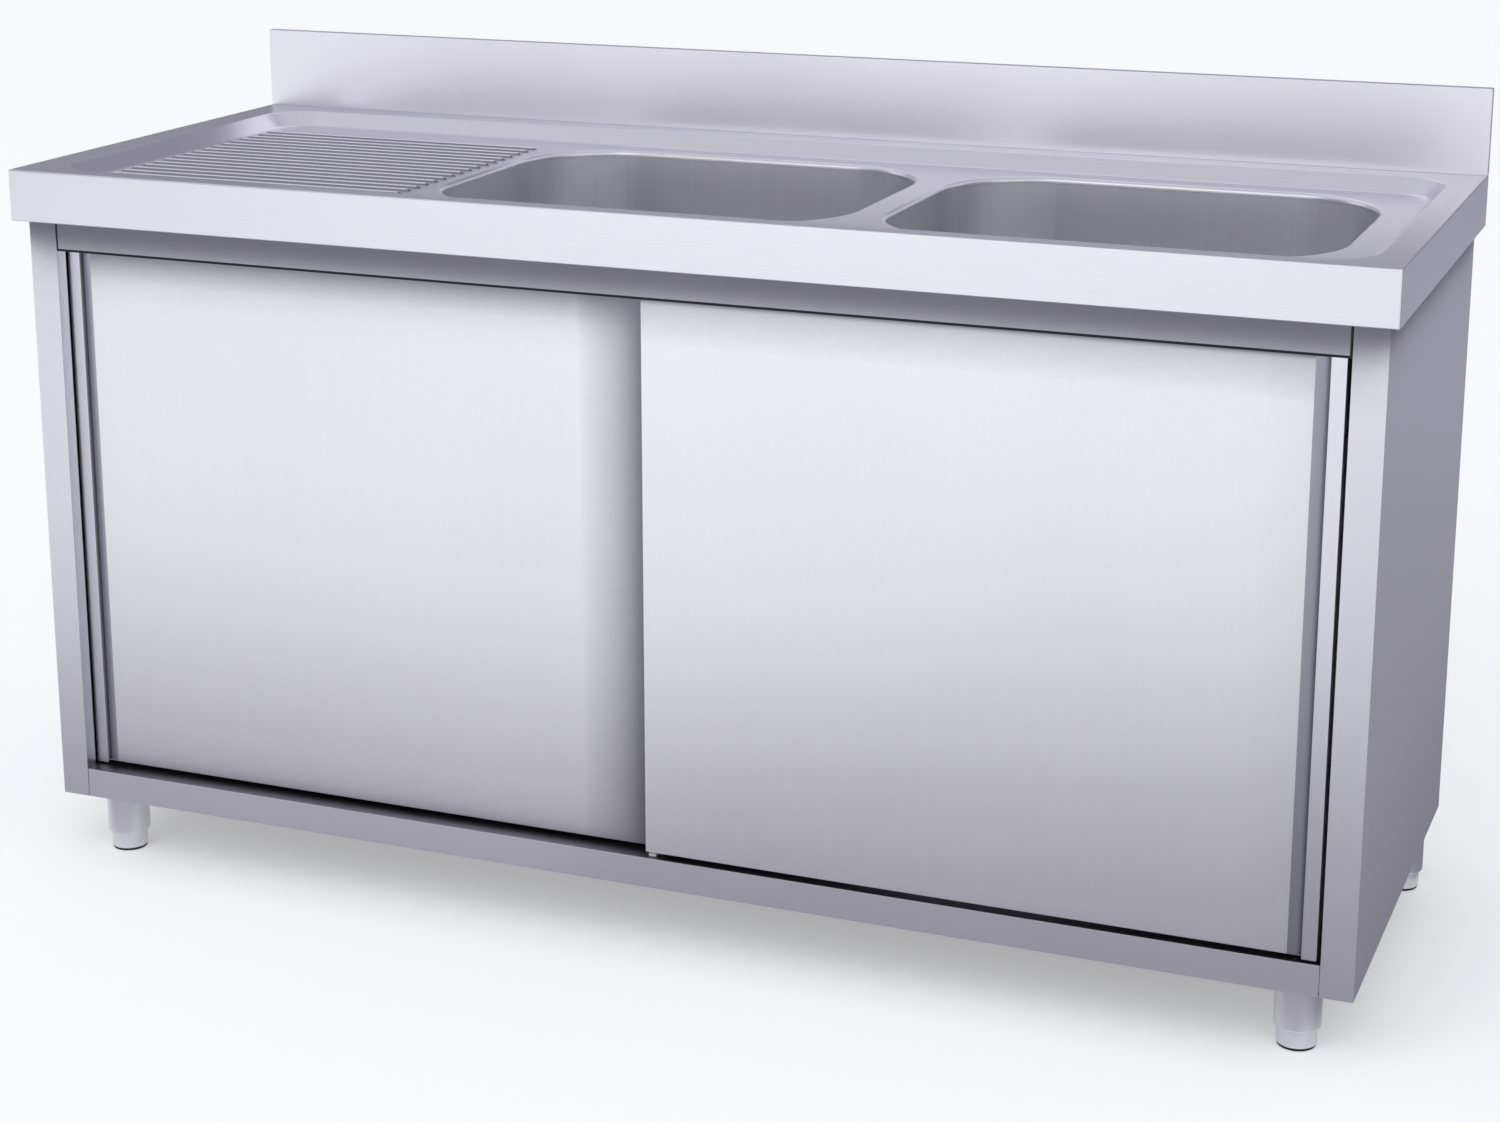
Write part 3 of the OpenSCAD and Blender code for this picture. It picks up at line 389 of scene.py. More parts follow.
class Finishes:
    """The finishes of this cabinet, built once and shared by its pieces."""

    def __init__(self) -> None:
        """Builds every material."""
        # Worktop: ground along its length before it is pressed
        self.sheet_x = SatinSteel("satin_stainless_ground_lengthwise", roughness=0.3).build()
        # Drainer ribs: a tone lighter than the worktop's is painted highlight on their crests, and
        # a dark patch is painted shade on their flanks down to the floor
        self.rib_x_painted_light = SatinSteel(
            "satin_stainless_ground_ribs_painted_light",
            tone="f0eff4",
            shade="e6e5ec",
            roughness=0.24,
            # Painted shade on the ribs' flanks and feet, below their crests
            patches=(Patch("8e8d98", ((2, 831.0, 834.0),)),),
        ).build()
        # Splashback: a finer belt along its length, so that it mirrors the bowls as soft patches
        self.fine_x = SatinSteel(
            "satin_stainless_fine_lengthwise", tone="f4f3f8", shade="edecf2", roughness=0.34
        ).build()
        # Side panels, rear panel, channels and door backs: ground upright
        self.sheet_z = SatinSteel(
            "satin_stainless_ground_upright",
            grain=Grain.ALONG_Z,
            shade_reach=100 * MM,
            shade_power=6.0,
            shade_open=0.78,
            # Painted shade in the seams beside other pieces
            seam_shade_reach=5 * MM,
        ).build()
        # Doors: ground upright, with a shade beside the edge of the door in front
        self.door_z = SatinSteel(
            "satin_stainless_door_ground_upright",
            tone="f9f8fb",
            shade="f1f0f4",
            grain=Grain.ALONG_Z,
            shade_reach=85 * MM,
            shade_power=2.7,
            shade_side=(1.9, 0.0, 1.2),
            shade_open=0.7,
            # Painted shade on the rolled edges beside the pulls, standing in for the darker things
            # that they mirror
            patches=(
                Patch("b4b3be", ((0, -735.0, -722.5),)),
                Patch("a3a2ad", ((0, 717.0, 732.0),)),
            ),
        ).build()
        # Pull strips, hangers and jambs: the same sheet, out of the edge's shade
        self.open_z = SatinSteel(
            "satin_stainless_ground_upright_open", grain=Grain.ALONG_Z, roughness=0.36
        ).build()
        # Top rail and shelf: ground along their length, in the shade of the worktop's edge
        self.rail_x = SatinSteel(
            "satin_stainless_ground_lengthwise_under_edge",
            shade_reach=140 * MM,
            shade_power=8.0,
            # Painted shade in the seams beside the stiles and over the doors
            seam_shade_reach=5 * MM,
            # Dark joint lines at the rail's ends beside the stiles, and painted shadow along its
            # lower edge over the doors
            patches=(
                Patch(JOINT_AND_SHADOW_TONE, ((0, -753.0, -750.2), (1, -282.0, -278.5), (2, 753.0, 832.0))),
                Patch(JOINT_AND_SHADOW_TONE, ((0, 750.2, 753.0), (1, -282.0, -278.5), (2, 753.0, 832.0))),
                # Painted shadow along the rail's lower edge over the doors
                Patch(JOINT_AND_SHADOW_TONE, ((2, 753.0, 756.8), (1, -282.0, -278.5))),
            ),
        ).build()
        # Legs and feet: drawn tube, polished round with a coarser belt
        self.tube = SatinSteel(
            "satin_stainless_drawn_tube", grain=Grain.ALONG_Z, roughness=0.5
        ).build()
        # Bowls: deep drawn, then brushed round and down, so they are a little rougher and darker
        self.drawn = SatinSteel(
            "drawn_stainless_brushed",
            tone="eeeef2",
            shade="dfdfe4",
            grain=Grain.ALONG_Z,
            roughness=0.36,
            roughness_spread=0.1,
            line_width=2 * MM,
        ).build()
        # Wastes and strainers: pressed from bright strip
        self.bright = PlainFinish(
            "pressed_stainless_bright", "e6e6ea", "dadade", 0.18, metallic=1.0
        ).build()
        # Rivets and screws: cold formed and tumbled
        self.fastener = PlainFinish(
            "tumbled_stainless_fastener", "d4d4d8", "c2c2c6", 0.3, metallic=1.0
        ).build()
        # Door track: extruded and left as it comes from the die
        self.track = PlainFinish(
            "extruded_aluminium_mill", "d3d4d8", "c3c4c9", 0.36, metallic=1.0
        ).build()
        # Pads, stops and gaskets: moulded rubber, black and dull
        self.rubber = PlainFinish("moulded_rubber_black", "121214", "0a0a0b", 0.85).build()
        # Rollers, plugs and guide: injection moulded nylon, waxy and slightly cream
        self.nylon = PlainFinish(
            "moulded_nylon_natural", "e9e7dd", "dedccf", 0.42, ior=1.53
        ).build()
        # Pipes and trap: moulded polypropylene, smooth and white
        self.pipe = PlainFinish(
            "moulded_polypropylene_white", "ecebe8", "e2e1dd", 0.33, ior=1.49
        ).build()
        # Door cores: glued paper honeycomb between liner boards, plain brown
        self.board = PlainFinish(
            "paper_board_brown", "b89a6a", "a5885a", 0.85, speck_size=3 * MM, speck_depth=0.2 * MM
        ).build()


# Mesh helpers


def rounded_ring(
    x: Span, y: Span, radius: float, z: float, grow: float = 0.0, steps: int = 14
) -> Ring:
    """Points anticlockwise round a level rectangle with round corners, in millimetres.

    Args:
        x: left and right limits.
        y: front and rear limits.
        radius: radius of the corners.
        z: height of the ring.
        grow: distance by which the ring lies outside those limits.
        steps: segments in each corner.

    Returns:
        Four corners of steps + 1 points each.
    """
    radius = max(radius + grow, LEAST_CORNER)
    left, right = x[0] - grow + radius, x[1] + grow - radius
    front, rear = y[0] - grow + radius, y[1] + grow - radius
    centres = ((right, rear), (left, rear), (left, front), (right, front))
    ring: Ring = []
    for quarter, (cx, cy) in enumerate(centres):
        for step in range(steps + 1):
            angle = math.radians(90 * (quarter + step / steps))
            ring.append((cx + radius * math.cos(angle), cy + radius * math.sin(angle), z))
    return ring


def add_ring(mesh: Mesh, ring: Ring) -> Corners:
    """Adds a ring given in millimetres and returns its vertices."""
    return [mesh.verts.new((x * MM, y * MM, z * MM)) for x, y, z in ring]


def loft(mesh: Mesh, rings: Sequence[Corners]) -> None:
    """Joins neighbouring rings of equal length with four-sided faces."""
    for low, high in zip(rings, rings[1:]):
        count = len(low)
        for i in range(count):
            j = (i + 1) % count
            mesh.faces.new((low[i], low[j], high[j], high[i]))


def fill_flat(mesh: Mesh, rings: Sequence[Corners]) -> None:
    """Fills the level area inside the first ring and outside the others with triangles."""
    edges = []
    for ring in rings:
        for a, b in zip(ring, ring[1:] + ring[:1]):
            edges.append(mesh.edges.get((a, b)) or mesh.edges.new((a, b)))
    bmesh.ops.triangle_fill(mesh, use_beauty=True, use_dissolve=False, edges=edges)


def finish_object(
    name: str,
    mesh: Mesh,
    material: Material,
    sharp_degrees: float = 35,
    recalculate: bool = True,
) -> Thing:
    """Turns a working mesh into an object at the origin with smooth faces.

    Args:
        name: name of the object and its mesh.
        mesh: the working mesh, which is freed.
        material: finish of every face.
        sharp_degrees: edges that turn by more than this stay sharp.
        recalculate: whether the normals are turned outwards first.

    Returns:
        The new object, linked to the scene.
    """
    if recalculate:
        bmesh.ops.recalc_face_normals(mesh, faces=mesh.faces)
    data = bpy.data.meshes.new(name)
    mesh.to_mesh(data)
    mesh.free()
    for face in data.polygons:
        face.use_smooth = True
    data.set_sharp_from_angle(angle=math.radians(sharp_degrees))
    data.materials.append(material)
    made = bpy.data.objects.new(name, data)
    bpy.context.scene.collection.objects.link(made)
    return made


def bake(made: Thing) -> Thing:
    """Turns an object's modifiers into a plain mesh and returns the object."""
    graph = bpy.context.evaluated_depsgraph_get()
    graph.update()
    data = bpy.data.meshes.new_from_object(made.evaluated_get(graph), depsgraph=graph)
    made.modifiers.clear()
    data.name = made.name
    made.data = data
    return made


def weight_normals(made: Thing) -> None:
    """Lets large flat faces set the shading of the edges that they share."""
    weighted = made.modifiers.new("flat faces lead", "WEIGHTED_NORMAL")
    weighted.keep_sharp = True


def seat(made: Thing, body: str, slot: Slot, *nodes: str) -> Thing:
    """Rides a finished piece on its body and lets it stand for CAD nodes.

    Args:
        made: the finished piece.
        body: name of the body that carries it.
        slot: not used.
        nodes: CAD nodes that the piece replaces.

    Returns:
        The piece.
    """
    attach(made, body)
    if nodes:
        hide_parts(*nodes)
    log.info("piece %s on %s stands for %s", made.name, body, ", ".join(nodes) or "itself")
    return made


def fold_copy(
    node: str,
    body: str,
    material: Material,
    round_mm: float = 0.45,
    jamb: Optional[Material] = None,
) -> Thing:
    """Copies a CAD node, rounds its edges like a folded sheet's and dresses the copy.

    Args:
        node: name of the CAD node.
        body: body that carries it.
        material: finish of the piece.
        round_mm: width of the rounding along the edges.
        jamb: finish of the faces that look sideways within the cabinet's sides, if it differs.

    Returns:
        The rounded piece, which stands for the node.
    """
    working = bmesh.new()
    working.from_mesh(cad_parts[node].data)
    bmesh.ops.remove_doubles(working, verts=working.verts, dist=WELD_DISTANCE)
    bmesh.ops.dissolve_limit(
        working, angle_limit=math.radians(FLAT_TURN), verts=working.verts, edges=working.edges
    )
    made = finish_object(node + "_rounded", working, material, recalculate=False)
    if jamb:
        made.data.materials.append(jamb)
        for face in made.data.polygons:
            if abs(face.normal.x) > SIDEWAYS and abs(face.center.x) < JAMB_LIMIT:
                face.material_index = 1
    edges = made.modifiers.new("rounded edges", "BEVEL")
    edges.width = round_mm * MM
    edges.segments = 2
    edges.limit_method = "ANGLE"
    edges.angle_limit = math.radians(ROUNDED_TURN)
    edges.use_clamp_overlap = True
    edges.miter_outer = "MITER_ARC"
    weight_normals(made)
    return seat(bake(made), body, Slot.SATIN, node)


# Geometry Nodes


class RowTree:
    """A node tree that repeats a piece in a straight row."""

    def __init__(self) -> None:
        """Builds the tree with its count, step and finish as inputs."""
        tree = bpy.data.node_groups.new("row_of_pieces", "GeometryNodeTree")
        self.tree = tree
        sockets = {}
        for name, kind in (
            ("Piece", "NodeSocketGeometry"),
            ("Count", "NodeSocketInt"),
            ("Step", "NodeSocketVector"),
            ("Finish", "NodeSocketMaterial"),
        ):
            sockets[name] = tree.interface.new_socket(name, in_out="INPUT", socket_type=kind)
        tree.interface.new_socket("Row", in_out="OUTPUT", socket_type="NodeSocketGeometry")
        self.identifiers = {name: socket.identifier for name, socket in sockets.items()}
        entry = add_node(tree, "NodeGroupInput").outputs
        links = {"Count": entry["Count"], "Offset": entry["Step"]}
        line = add_node(tree, "GeometryNodeMeshLine", {"mode": "OFFSET"}, links=links)
        links = {"Points": line.outputs[0], "Instance": entry["Piece"]}
        copies = add_node(tree, "GeometryNodeInstanceOnPoints", links=links)
        links = {"Geometry": copies.outputs[0]}
        real = add_node(tree, "GeometryNodeRealizeInstances", links=links)
        links = {"Geometry": real.outputs[0], "Material": entry["Finish"]}
        dressed = add_node(tree, "GeometryNodeSetMaterial", links=links)
        add_node(tree, "NodeGroupOutput", links={0: dressed.outputs[0]})

    def repeat(self, made: Thing, rows: Iterable[tuple[int, Point]], material: Material) -> Thing:
        """Repeats an object's mesh along one or more rows and turns it into a plain mesh.

        Args:
            made: object that holds the first piece.
            rows: the count and the step in millimetres of each row.
            material: finish of the pieces.

        Returns:
            The object with every piece in its mesh.
        """
        for count, step in rows:
            modifier = made.modifiers.new("row", "NODES")
            modifier.node_group = self.tree
            modifier[self.identifiers["Count"]] = count
            modifier[self.identifiers["Step"]] = tuple(value * MM for value in step)
            modifier[self.identifiers["Finish"]] = material
        return bake(made)


def turned(
    name: str,
    profile: Sequence[Span],
    centre: Point,
    material: Material,
    segments: int = 64,
    axis: Axis = Axis.UPRIGHT,
) -> Thing:
    """Turns a closed profile round an axis, like a piece on a lathe.

    Args:
        name: name of the piece.
        profile: radius and height of each point in millimetres, all off the axis or on it.
        centre: foot of the axis in millimetres.
        material: finish of the piece.
        segments: faces round the axis.
        axis: direction of the axis.

    Returns:
        The closed, smooth piece.
    """
    mesh = bmesh.new()
    columns: list[Corners] = []
    for radius, height in profile:
        ring = []
        for i in range(segments if radius > 0 else 1):
            angle = 2 * math.pi * i / segments
            u, v = radius * math.cos(angle), radius * math.sin(angle)
            local = (u, v, height) if axis is Axis.UPRIGHT else (u, height, v)
            ring.append(mesh.verts.new([(c + p) * MM for c, p in zip(centre, local)]))
        columns.append(ring)
    for low, high in zip(columns, columns[1:] + columns[:1]):
        for i in range(segments):
            a, b = i % len(low), (i + 1) % segments % len(low)
            c, d = (i + 1) % segments % len(high), i % len(high)
            # A ring on the axis is one point, which a face takes once
            corners = list(dict.fromkeys((low[a], low[b], high[c], high[d])))
            if len(corners) > 2:
                mesh.faces.new(corners)
    return finish_object(name, mesh, material)


def round_corner(centre: Span, radius: float, start: float, end: float, steps: int) -> list[Span]:
    """Points on an arc of a profile, from the start to the end angle in degrees."""
    points = []
    for step in range(steps + 1):
        angle = math.radians(start + (end - start) * step / steps)
        points.append((centre[0] + radius * math.cos(angle), centre[1] + radius * math.sin(angle)))
    return points


# Sub-assemblies


@dataclass
class Bowl:
    """A deep drawn bowl that is welded under the worktop."""

    name: str
    centre_x: float
    centre_y: float = -2.0
    width: float = 500.0
    depth: float = 400.0
    corner: float = 110.0
    foot_round: float = 45.0
    top: float = 824.9
    floor: float = 582.0
    sheet: float = 1.2
    waste_radius: float = 42.5
    round_steps: int = 10
    # Extra rings beside the bends, so that the flat areas next to them stay flat in the light
    wall_guard: float = 4.0
    floor_guard: float = 3.0
    waste_guard: float = 20.0

    def ring(self, grow: float, z: float) -> Ring:
        """Ring round the bowl, moved out by grow millimetres at height z."""
        x = (self.centre_x - self.width / 2, self.centre_x + self.width / 2)
        y = (self.centre_y - self.depth / 2, self.centre_y + self.depth / 2)
        return rounded_ring(x, y, self.corner, z, grow)

    def hole(self, radius: float, z: float) -> Ring:
        """Circle round the waste at height z, with a point for each point of a ring."""
        circle: Ring = []
        for x, y, _ in self.ring(-self.foot_round, z):
            turn = math.atan2(y - self.centre_y, x - self.centre_x)
            along, across = radius * math.cos(turn), radius * math.sin(turn)
            circle.append((self.centre_x + along, self.centre_y + across, z))
        return circle

    def wall(self, grow: float) -> list[Ring]:
        """Rings of one face of the sheet, from the rim down to the waste.

        Args:
            grow: how far the face lies outside the bowl's inner face.

        Returns:
            The rings in order.
        """
        radius = self.foot_round + grow
        high = self.floor + self.foot_round
        rings = [self.ring(grow, self.top), self.ring(grow, high + self.wall_guard)]
        for step in range(self.round_steps + 1):
            angle = math.radians(90 * step / self.round_steps)
            inset = radius * (1 - math.cos(angle)) - grow
            rings.append(self.ring(-inset, high - radius * math.sin(angle)))
        low = self.floor - grow
        rings.append(self.ring(-self.foot_round - self.floor_guard, low))
        rings.append(self.hole(self.waste_radius + self.waste_guard, low))
        rings.append(self.hole(self.waste_radius, low))
        return rings

    def build(self, finishes: Finishes) -> Thing:
        """Builds the drawn bowl.

        Args:
            finishes: the cabinet's finishes.

        Returns:
            The piece that stands for the bowl's CAD node.
        """
        mesh = bmesh.new()
        rings = self.wall(0) + self.wall(self.sheet)[::-1]
        vertices = [add_ring(mesh, ring) for ring in rings]
        loft(mesh, vertices + vertices[:1])
        made = finish_object(self.name + "_drawn", mesh, finishes.drawn)
        weight_normals(made)
        return seat(bake(made), CARCASS, Slot.POLISHED, self.name)


@dataclass
class Drainer:
    """Row of pressed ribs on the recess floor."""

    count: int = 17
    pitch: float = 22.0
    centre_y: float = -11.0
    left: float = -736.0
    right: float = -345.0
    half_width: float = 6.6
    height: float = 3.0
    floor: float = 832.0
    sink: float = 0.6
    steps: int = 9
    # Above 1, the rib's foot runs out softly into the floor
    foot_softness: float = 1.6
    # A little under 1, so that the round ends keep a face between their halves
    end_round: float = 0.999
    end_steps: int = 5

    def rib(self) -> Mesh:
        """Builds the front rib, with round ends and a soft foot.

        Returns:
            The closed mesh of one rib.
        """
        mesh = bmesh.new()
        y = self.centre_y - self.pitch * (self.count - 1) / 2
        levels = [(self.half_width, self.floor - self.sink)]
        for step in range(self.steps):
            share = 1 - step / self.steps
            rise = math.cos(math.pi / 2 * share) ** self.foot_softness
            levels.append((self.half_width * share, self.floor + self.height * rise))
        rings = []
        for spread, z in levels:
            x = (self.left + self.half_width - spread, self.right - self.half_width + spread)
            radius = spread * self.end_round
            ring = rounded_ring(x, (y - spread, y + spread), radius, z, steps=self.end_steps)
            rings.append(add_ring(mesh, ring))
        loft(mesh, rings)
        mesh.faces.new(rings[-1])
        mesh.faces.new(rings[0][::-1])
        return mesh

    def build(self, finishes: Finishes, rows: RowTree) -> Thing:
        """Repeats the rib over the drainer and returns the piece with every rib."""
        made = finish_object("drainer_ribs", self.rib(), finishes.rib_x_painted_light, sharp_degrees=60)
        rows.repeat(made, [(self.count, (0, self.pitch, 0))], finishes.rib_x_painted_light)
        return seat(made, CARCASS, Slot.SATIN)


@dataclass
class Worktop:
    """Pressed worktop sheet with its recess, its bowl openings and its turned down edge."""

    bowls: Sequence[Bowl]
    half_width: float = 800.0
    half_depth: float = 300.0
    top: float = 850.0
    apron_foot: float = 790.0
    sheet: float = 1.5
    edge_round: float = 1.6
    corner: float = 2.0
    recess_x: Span = (-759.0, 767.0)
    recess_y: Span = (-275.0, 253.0)
    recess_corner: float = 60.0
    recess_depth: float = 18.0
    recess_run: float = 18.0
    brow_round: float = 4.0
    foot_round: float = 9.0
    rim_round: float = 5.0
    rim_drop: float = 7.0
    hem_x: float = 789.0
    hem_front: float = -281.3
    hem_gap: float = 0.2
    foot_steps: int = 5
    brow_steps: int = 4
    edge_steps: int = 4
    rim_steps: int = 5
    # Extra ring beside each rounding, so that the flat area next to it stays flat in the light
    guard: float = 0.6

    def outer(self, inset: float, z: float) -> Ring:
        """Ring round the worktop's outline, moved in by inset millimetres."""
        x, y = (-self.half_width, self.half_width), (-self.half_depth, self.half_depth)
        return rounded_ring(x, y, self.corner, z, -inset)

    def recess(self, inset: float, z: float) -> Ring:
        """Ring round the pressed recess, moved in by inset millimetres."""
        return rounded_ring(self.recess_x, self.recess_y, self.recess_corner, z, -inset)

    def recess_wall(self, under: bool) -> list[Ring]:
        """Rings from the recess floor up its sloping wall to the rim.

        Args:
            under: whether the rings lie on the sheet's underside.

        Returns:
            The rings in order.
        """
        drop = self.sheet if under else 0.0
        slope = math.atan2(self.recess_depth, self.recess_run)
        tangent = math.tan(slope / 2)
        foot_in = self.recess_run + self.foot_round * tangent
        brow_out = self.brow_round * tangent
        floor = self.top - self.recess_depth
        rings = [self.recess(foot_in + self.guard, floor - drop)]
        for step in range(self.foot_steps + 1):
            turn = slope * step / self.foot_steps
            radius = self.foot_round + drop
            inset = foot_in - radius * math.sin(turn)
            rings.append(self.recess(inset, floor + self.foot_round - radius * math.cos(turn)))
        for step in range(self.brow_steps + 1):
            turn = slope * (1 - step / self.brow_steps)
            radius = self.brow_round - drop
            inset = radius * math.sin(turn) - brow_out
            rings.append(self.recess(inset, self.top - self.brow_round + radius * math.cos(turn)))
        rings.append(self.recess(-brow_out - self.guard, self.top - drop))
        return rings

    def edge(self) -> list[Ring]:
        """Rings from the rim over the edge, down the apron and round the hem to the inside.

        Returns:
            The rings in order.
        """
        r = self.edge_round
        turns = [math.radians(90 * step / self.edge_steps) for step in range(self.edge_steps + 1)]
        rings = [self.outer(r + self.guard, self.top)]
        for turn in turns:
            rings.append(self.outer(r - r * math.sin(turn), self.top - r + r * math.cos(turn)))
        for turn in turns:
            z = self.apron_foot + r - r * math.sin(turn)
            rings.append(self.outer(r - r * math.cos(turn), z))
        hem_x = (-self.hem_x, self.hem_x)
        hem_y = (self.hem_front, self.half_depth - self.sheet - self.hem_gap)
        for z in (self.apron_foot, self.apron_foot + self.sheet):
            rings.append(rounded_ring(hem_x, hem_y, LEAST_CORNER, z))
        rings.append(self.outer(self.sheet, self.apron_foot + self.sheet))
        rings.append(self.outer(self.sheet, self.top - self.sheet))
        return rings

    def bowl_rim(self, bowl: Bowl, under: bool) -> list[Ring]:
        """Rings from the recess floor over a bowl's rolled rim down to its wall.

        Args:
            bowl: the bowl under the opening.
            under: whether the rings lie on the sheet's underside.

        Returns:
            The rings in order.
        """
        drop = self.sheet if under else 0.0
        floor = self.top - self.recess_depth
        radius = self.rim_round - drop
        rings = [bowl.ring(self.rim_round + self.guard, floor - drop)]
        for step in range(self.rim_steps + 1):
            turn = math.radians(90 * step / self.rim_steps)
            grow = self.rim_round - radius * math.sin(turn)
            rings.append(bowl.ring(grow, floor - self.rim_round + radius * math.cos(turn)))
        rings.append(bowl.ring(drop, floor - self.rim_drop))
        return rings

    def build(self, finishes: Finishes) -> Thing:
        """Builds the pressed sheet as one closed shell.

        Args:
            finishes: the cabinet's finishes.

        Returns:
            The piece that stands for the worktop's CAD node.
        """
        mesh = bmesh.new()
        under = self.recess_wall(True)[::-1]
        shell = [add_ring(mesh, ring) for ring in self.recess_wall(False) + self.edge() + under]
        loft(mesh, shell)
        tops, unders = [shell[0]], [shell[-1]]
        for bowl in self.bowls:
            under = self.bowl_rim(bowl, True)[::-1]
            rim = [add_ring(mesh, ring) for ring in self.bowl_rim(bowl, False) + under]
            loft(mesh, rim)
            tops.append(rim[0])
            unders.append(rim[-1])
        fill_flat(mesh, tops)
        fill_flat(mesh, unders)
        made = finish_object("worktop_pressed", mesh, finishes.sheet_x)
        weight_normals(made)
        return seat(bake(made), CARCASS, Slot.SATIN, "worktop")


@dataclass
class Leg:
    """A tube leg with its adjustable foot and rubber pad."""

    corner: str
    x: float
    y: float
    foot_radius: float = 21.5
    foot_top: float = 45.0
    stem_radius: float = 6.0
    stem_top: float = 90.8
    pad_height: float = 3.0
    pad_radius: float = 20.5
    edge: float = 0.8
    edge_steps: int = 3
    plate_edge: float = 0.3

    def build(self, finishes: Finishes) -> None:
        """Builds the fixing plate with its sleeve, the foot and the pad.

        Args:
            finishes: the cabinet's finishes.
        """
        centre = (self.x, self.y, 0.0)
        edge, steps = self.edge, self.edge_steps
        fold_copy(self.corner + "_leg", CARCASS, finishes.tube, self.plate_edge)
        body = self.corner + "_adjuster"
        side = self.foot_radius - edge
        foot = [(0, self.pad_height)]
        foot += round_corner((side, self.pad_height + edge), edge, -90, 0, steps)
        foot += round_corner((side, self.foot_top - edge), edge, 0, 90, steps)
        foot += [(self.stem_radius, self.foot_top), (self.stem_radius, self.stem_top - edge)]
        foot += [(self.stem_radius - edge, self.stem_top), (0, self.stem_top)]
        made = turned(self.corner + "_foot_turned", foot, centre, finishes.tube)
        seat(made, body, Slot.SATIN, self.corner + "_foot")
        pad = [(0, 0)]
        pad += round_corner((self.pad_radius - edge, edge), edge, -90, 0, steps)
        pad += [(self.pad_radius, self.pad_height), (0, self.pad_height)]
        made = turned(self.corner + "_pad_moulded", pad, centre, finishes.rubber)
        seat(made, body, Slot.RUBBER, self.corner + "_pad")


@dataclass
class Fasteners:
    """Rivets of the rear panel."""

    rivet_x: float = 778.5
    rear: float = 297.7
    inside: float = 295.3
    first_z: float = 115.0
    step_z: float = 127.0
    rows: int = 6
    head_radius: float = 4.8
    head_height: float = 1.2
    shank_radius: float = 2.4
    tail_radius: float = 3.4
    dome_steps: int = 4
    segments: int = 20

    def build(self, finishes: Finishes, rows: RowTree) -> None:
        """Builds one domed rivet and repeats it up both rear flanges.

        Args:
            finishes: the cabinet's finishes.
            rows: tree that repeats a piece.
        """
        grip = self.rear - self.inside
        profile = [(0, -self.head_height), (self.tail_radius, -self.head_height)]
        profile += [(self.tail_radius, 0), (self.shank_radius, 0), (self.shank_radius, grip)]
        profile += [(self.head_radius, grip)]
        for step in range(1, self.dome_steps):
            turn = math.radians(90 * step / self.dome_steps)
            rise = self.head_height * math.sin(turn)
            profile.append((self.head_radius * math.cos(turn), grip + rise))
        profile.append((0, grip + self.head_height))
        centre = (-self.rivet_x, self.inside, self.first_z)
        made = turned(
            "rivets_domed", profile, centre, finishes.fastener, self.segments, Axis.REARWARD
        )
        pair = (2, (2 * self.rivet_x, 0, 0))
        rows.repeat(made, [(self.rows, (0, 0, self.step_z)), pair], finishes.fastener)
        seat(made, CARCASS, Slot.FASTENER, "rear_panel_rivets")


@dataclass
class Cabinet:
    """The folded sheets of the carcass, its door gear and its waste kit."""

    lengthwise: tuple[str, ...] = ("front_top_rail", "base_shelf")
    sides: tuple[str, ...] = ("left_side_panel", "right_side_panel")
    upright: tuple[str, ...] = ("rear_panel", "drainer_stiffeners", "shelf_stiffener")
    # Nodes that keep their CAD shape, each group after the finish that it takes
    kept: tuple[tuple[str, tuple[str, ...]], ...] = (
        ("track", ("door_track",)),
        ("fastener", ("track_screws", "leg_screws")),
        ("rubber", ("track_stops", "waste_gaskets")),
        ("nylon", ("bottom_guide", "leg_plugs")),
        ("pipe", ("waste_nuts", "waste_manifold", "slip_nuts")),
        ("pipe", ("trap_body", "trap_cup", "outlet_pipe")),
        ("bright", ("left_waste", "right_waste", "left_strainer", "right_strainer")),
    )

    def build(self, finishes: Finishes) -> None:
        """Rounds the sheets and dresses the nodes that keep their CAD shape.

        Args:
            finishes: the cabinet's finishes.
        """
        fold_copy("splashback", CARCASS, finishes.fine_x)
        for node in self.lengthwise:
            fold_copy(node, CARCASS, finishes.rail_x)
        for node in self.sides:
            fold_copy(node, CARCASS, finishes.sheet_z, jamb=finishes.open_z)
        for node in self.upright:
            fold_copy(node, CARCASS, finishes.sheet_z)
        for finish, nodes in self.kept:
            for node in nodes:
                dress(node, getattr(finishes, finish))


@dataclass
class Door:
    """A sliding door with its hangers and rollers."""

    side: str
    edge: float = 0.4

    def build(self, finishes: Finishes) -> None:
        """Rounds the door's sheets and dresses its gear.

        Args:
            finishes: the cabinet's finishes.
        """
        body = self.side + "_door"
        sheets = {"skin": finishes.door_z, "pull": finishes.open_z, "back": finishes.sheet_z}
        for part, finish in sheets.items():
            fold_copy(f"{body}_{part}", body, finish, self.edge)
        dress(body + "_core", finishes.board)
        dress(body + "_hangers", finishes.open_z)
        dress(body + "_axles", finishes.fastener)
        dress(body + "_screws", finishes.fastener)
        for end in ("outer", "inner"):
            dress(f"{self.side}_{end}_roller", finishes.nylon)


def dress(node: str, material: Material) -> None:
    """Gives a CAD node that keeps its shape a finish."""
    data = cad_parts[node].data
    data.materials.clear()
    data.materials.append(material)
    log.info("node %s keeps its shape in %s", node, material.name)


def add_glow(tree: Tree, tone: str, strength: float) -> Socket:
    """Adds an even glow in a tone."""
    inputs = {"Color": linear(tone), "Strength": strength}
    return add_node(tree, "ShaderNodeEmission", inputs=inputs).outputs[0]


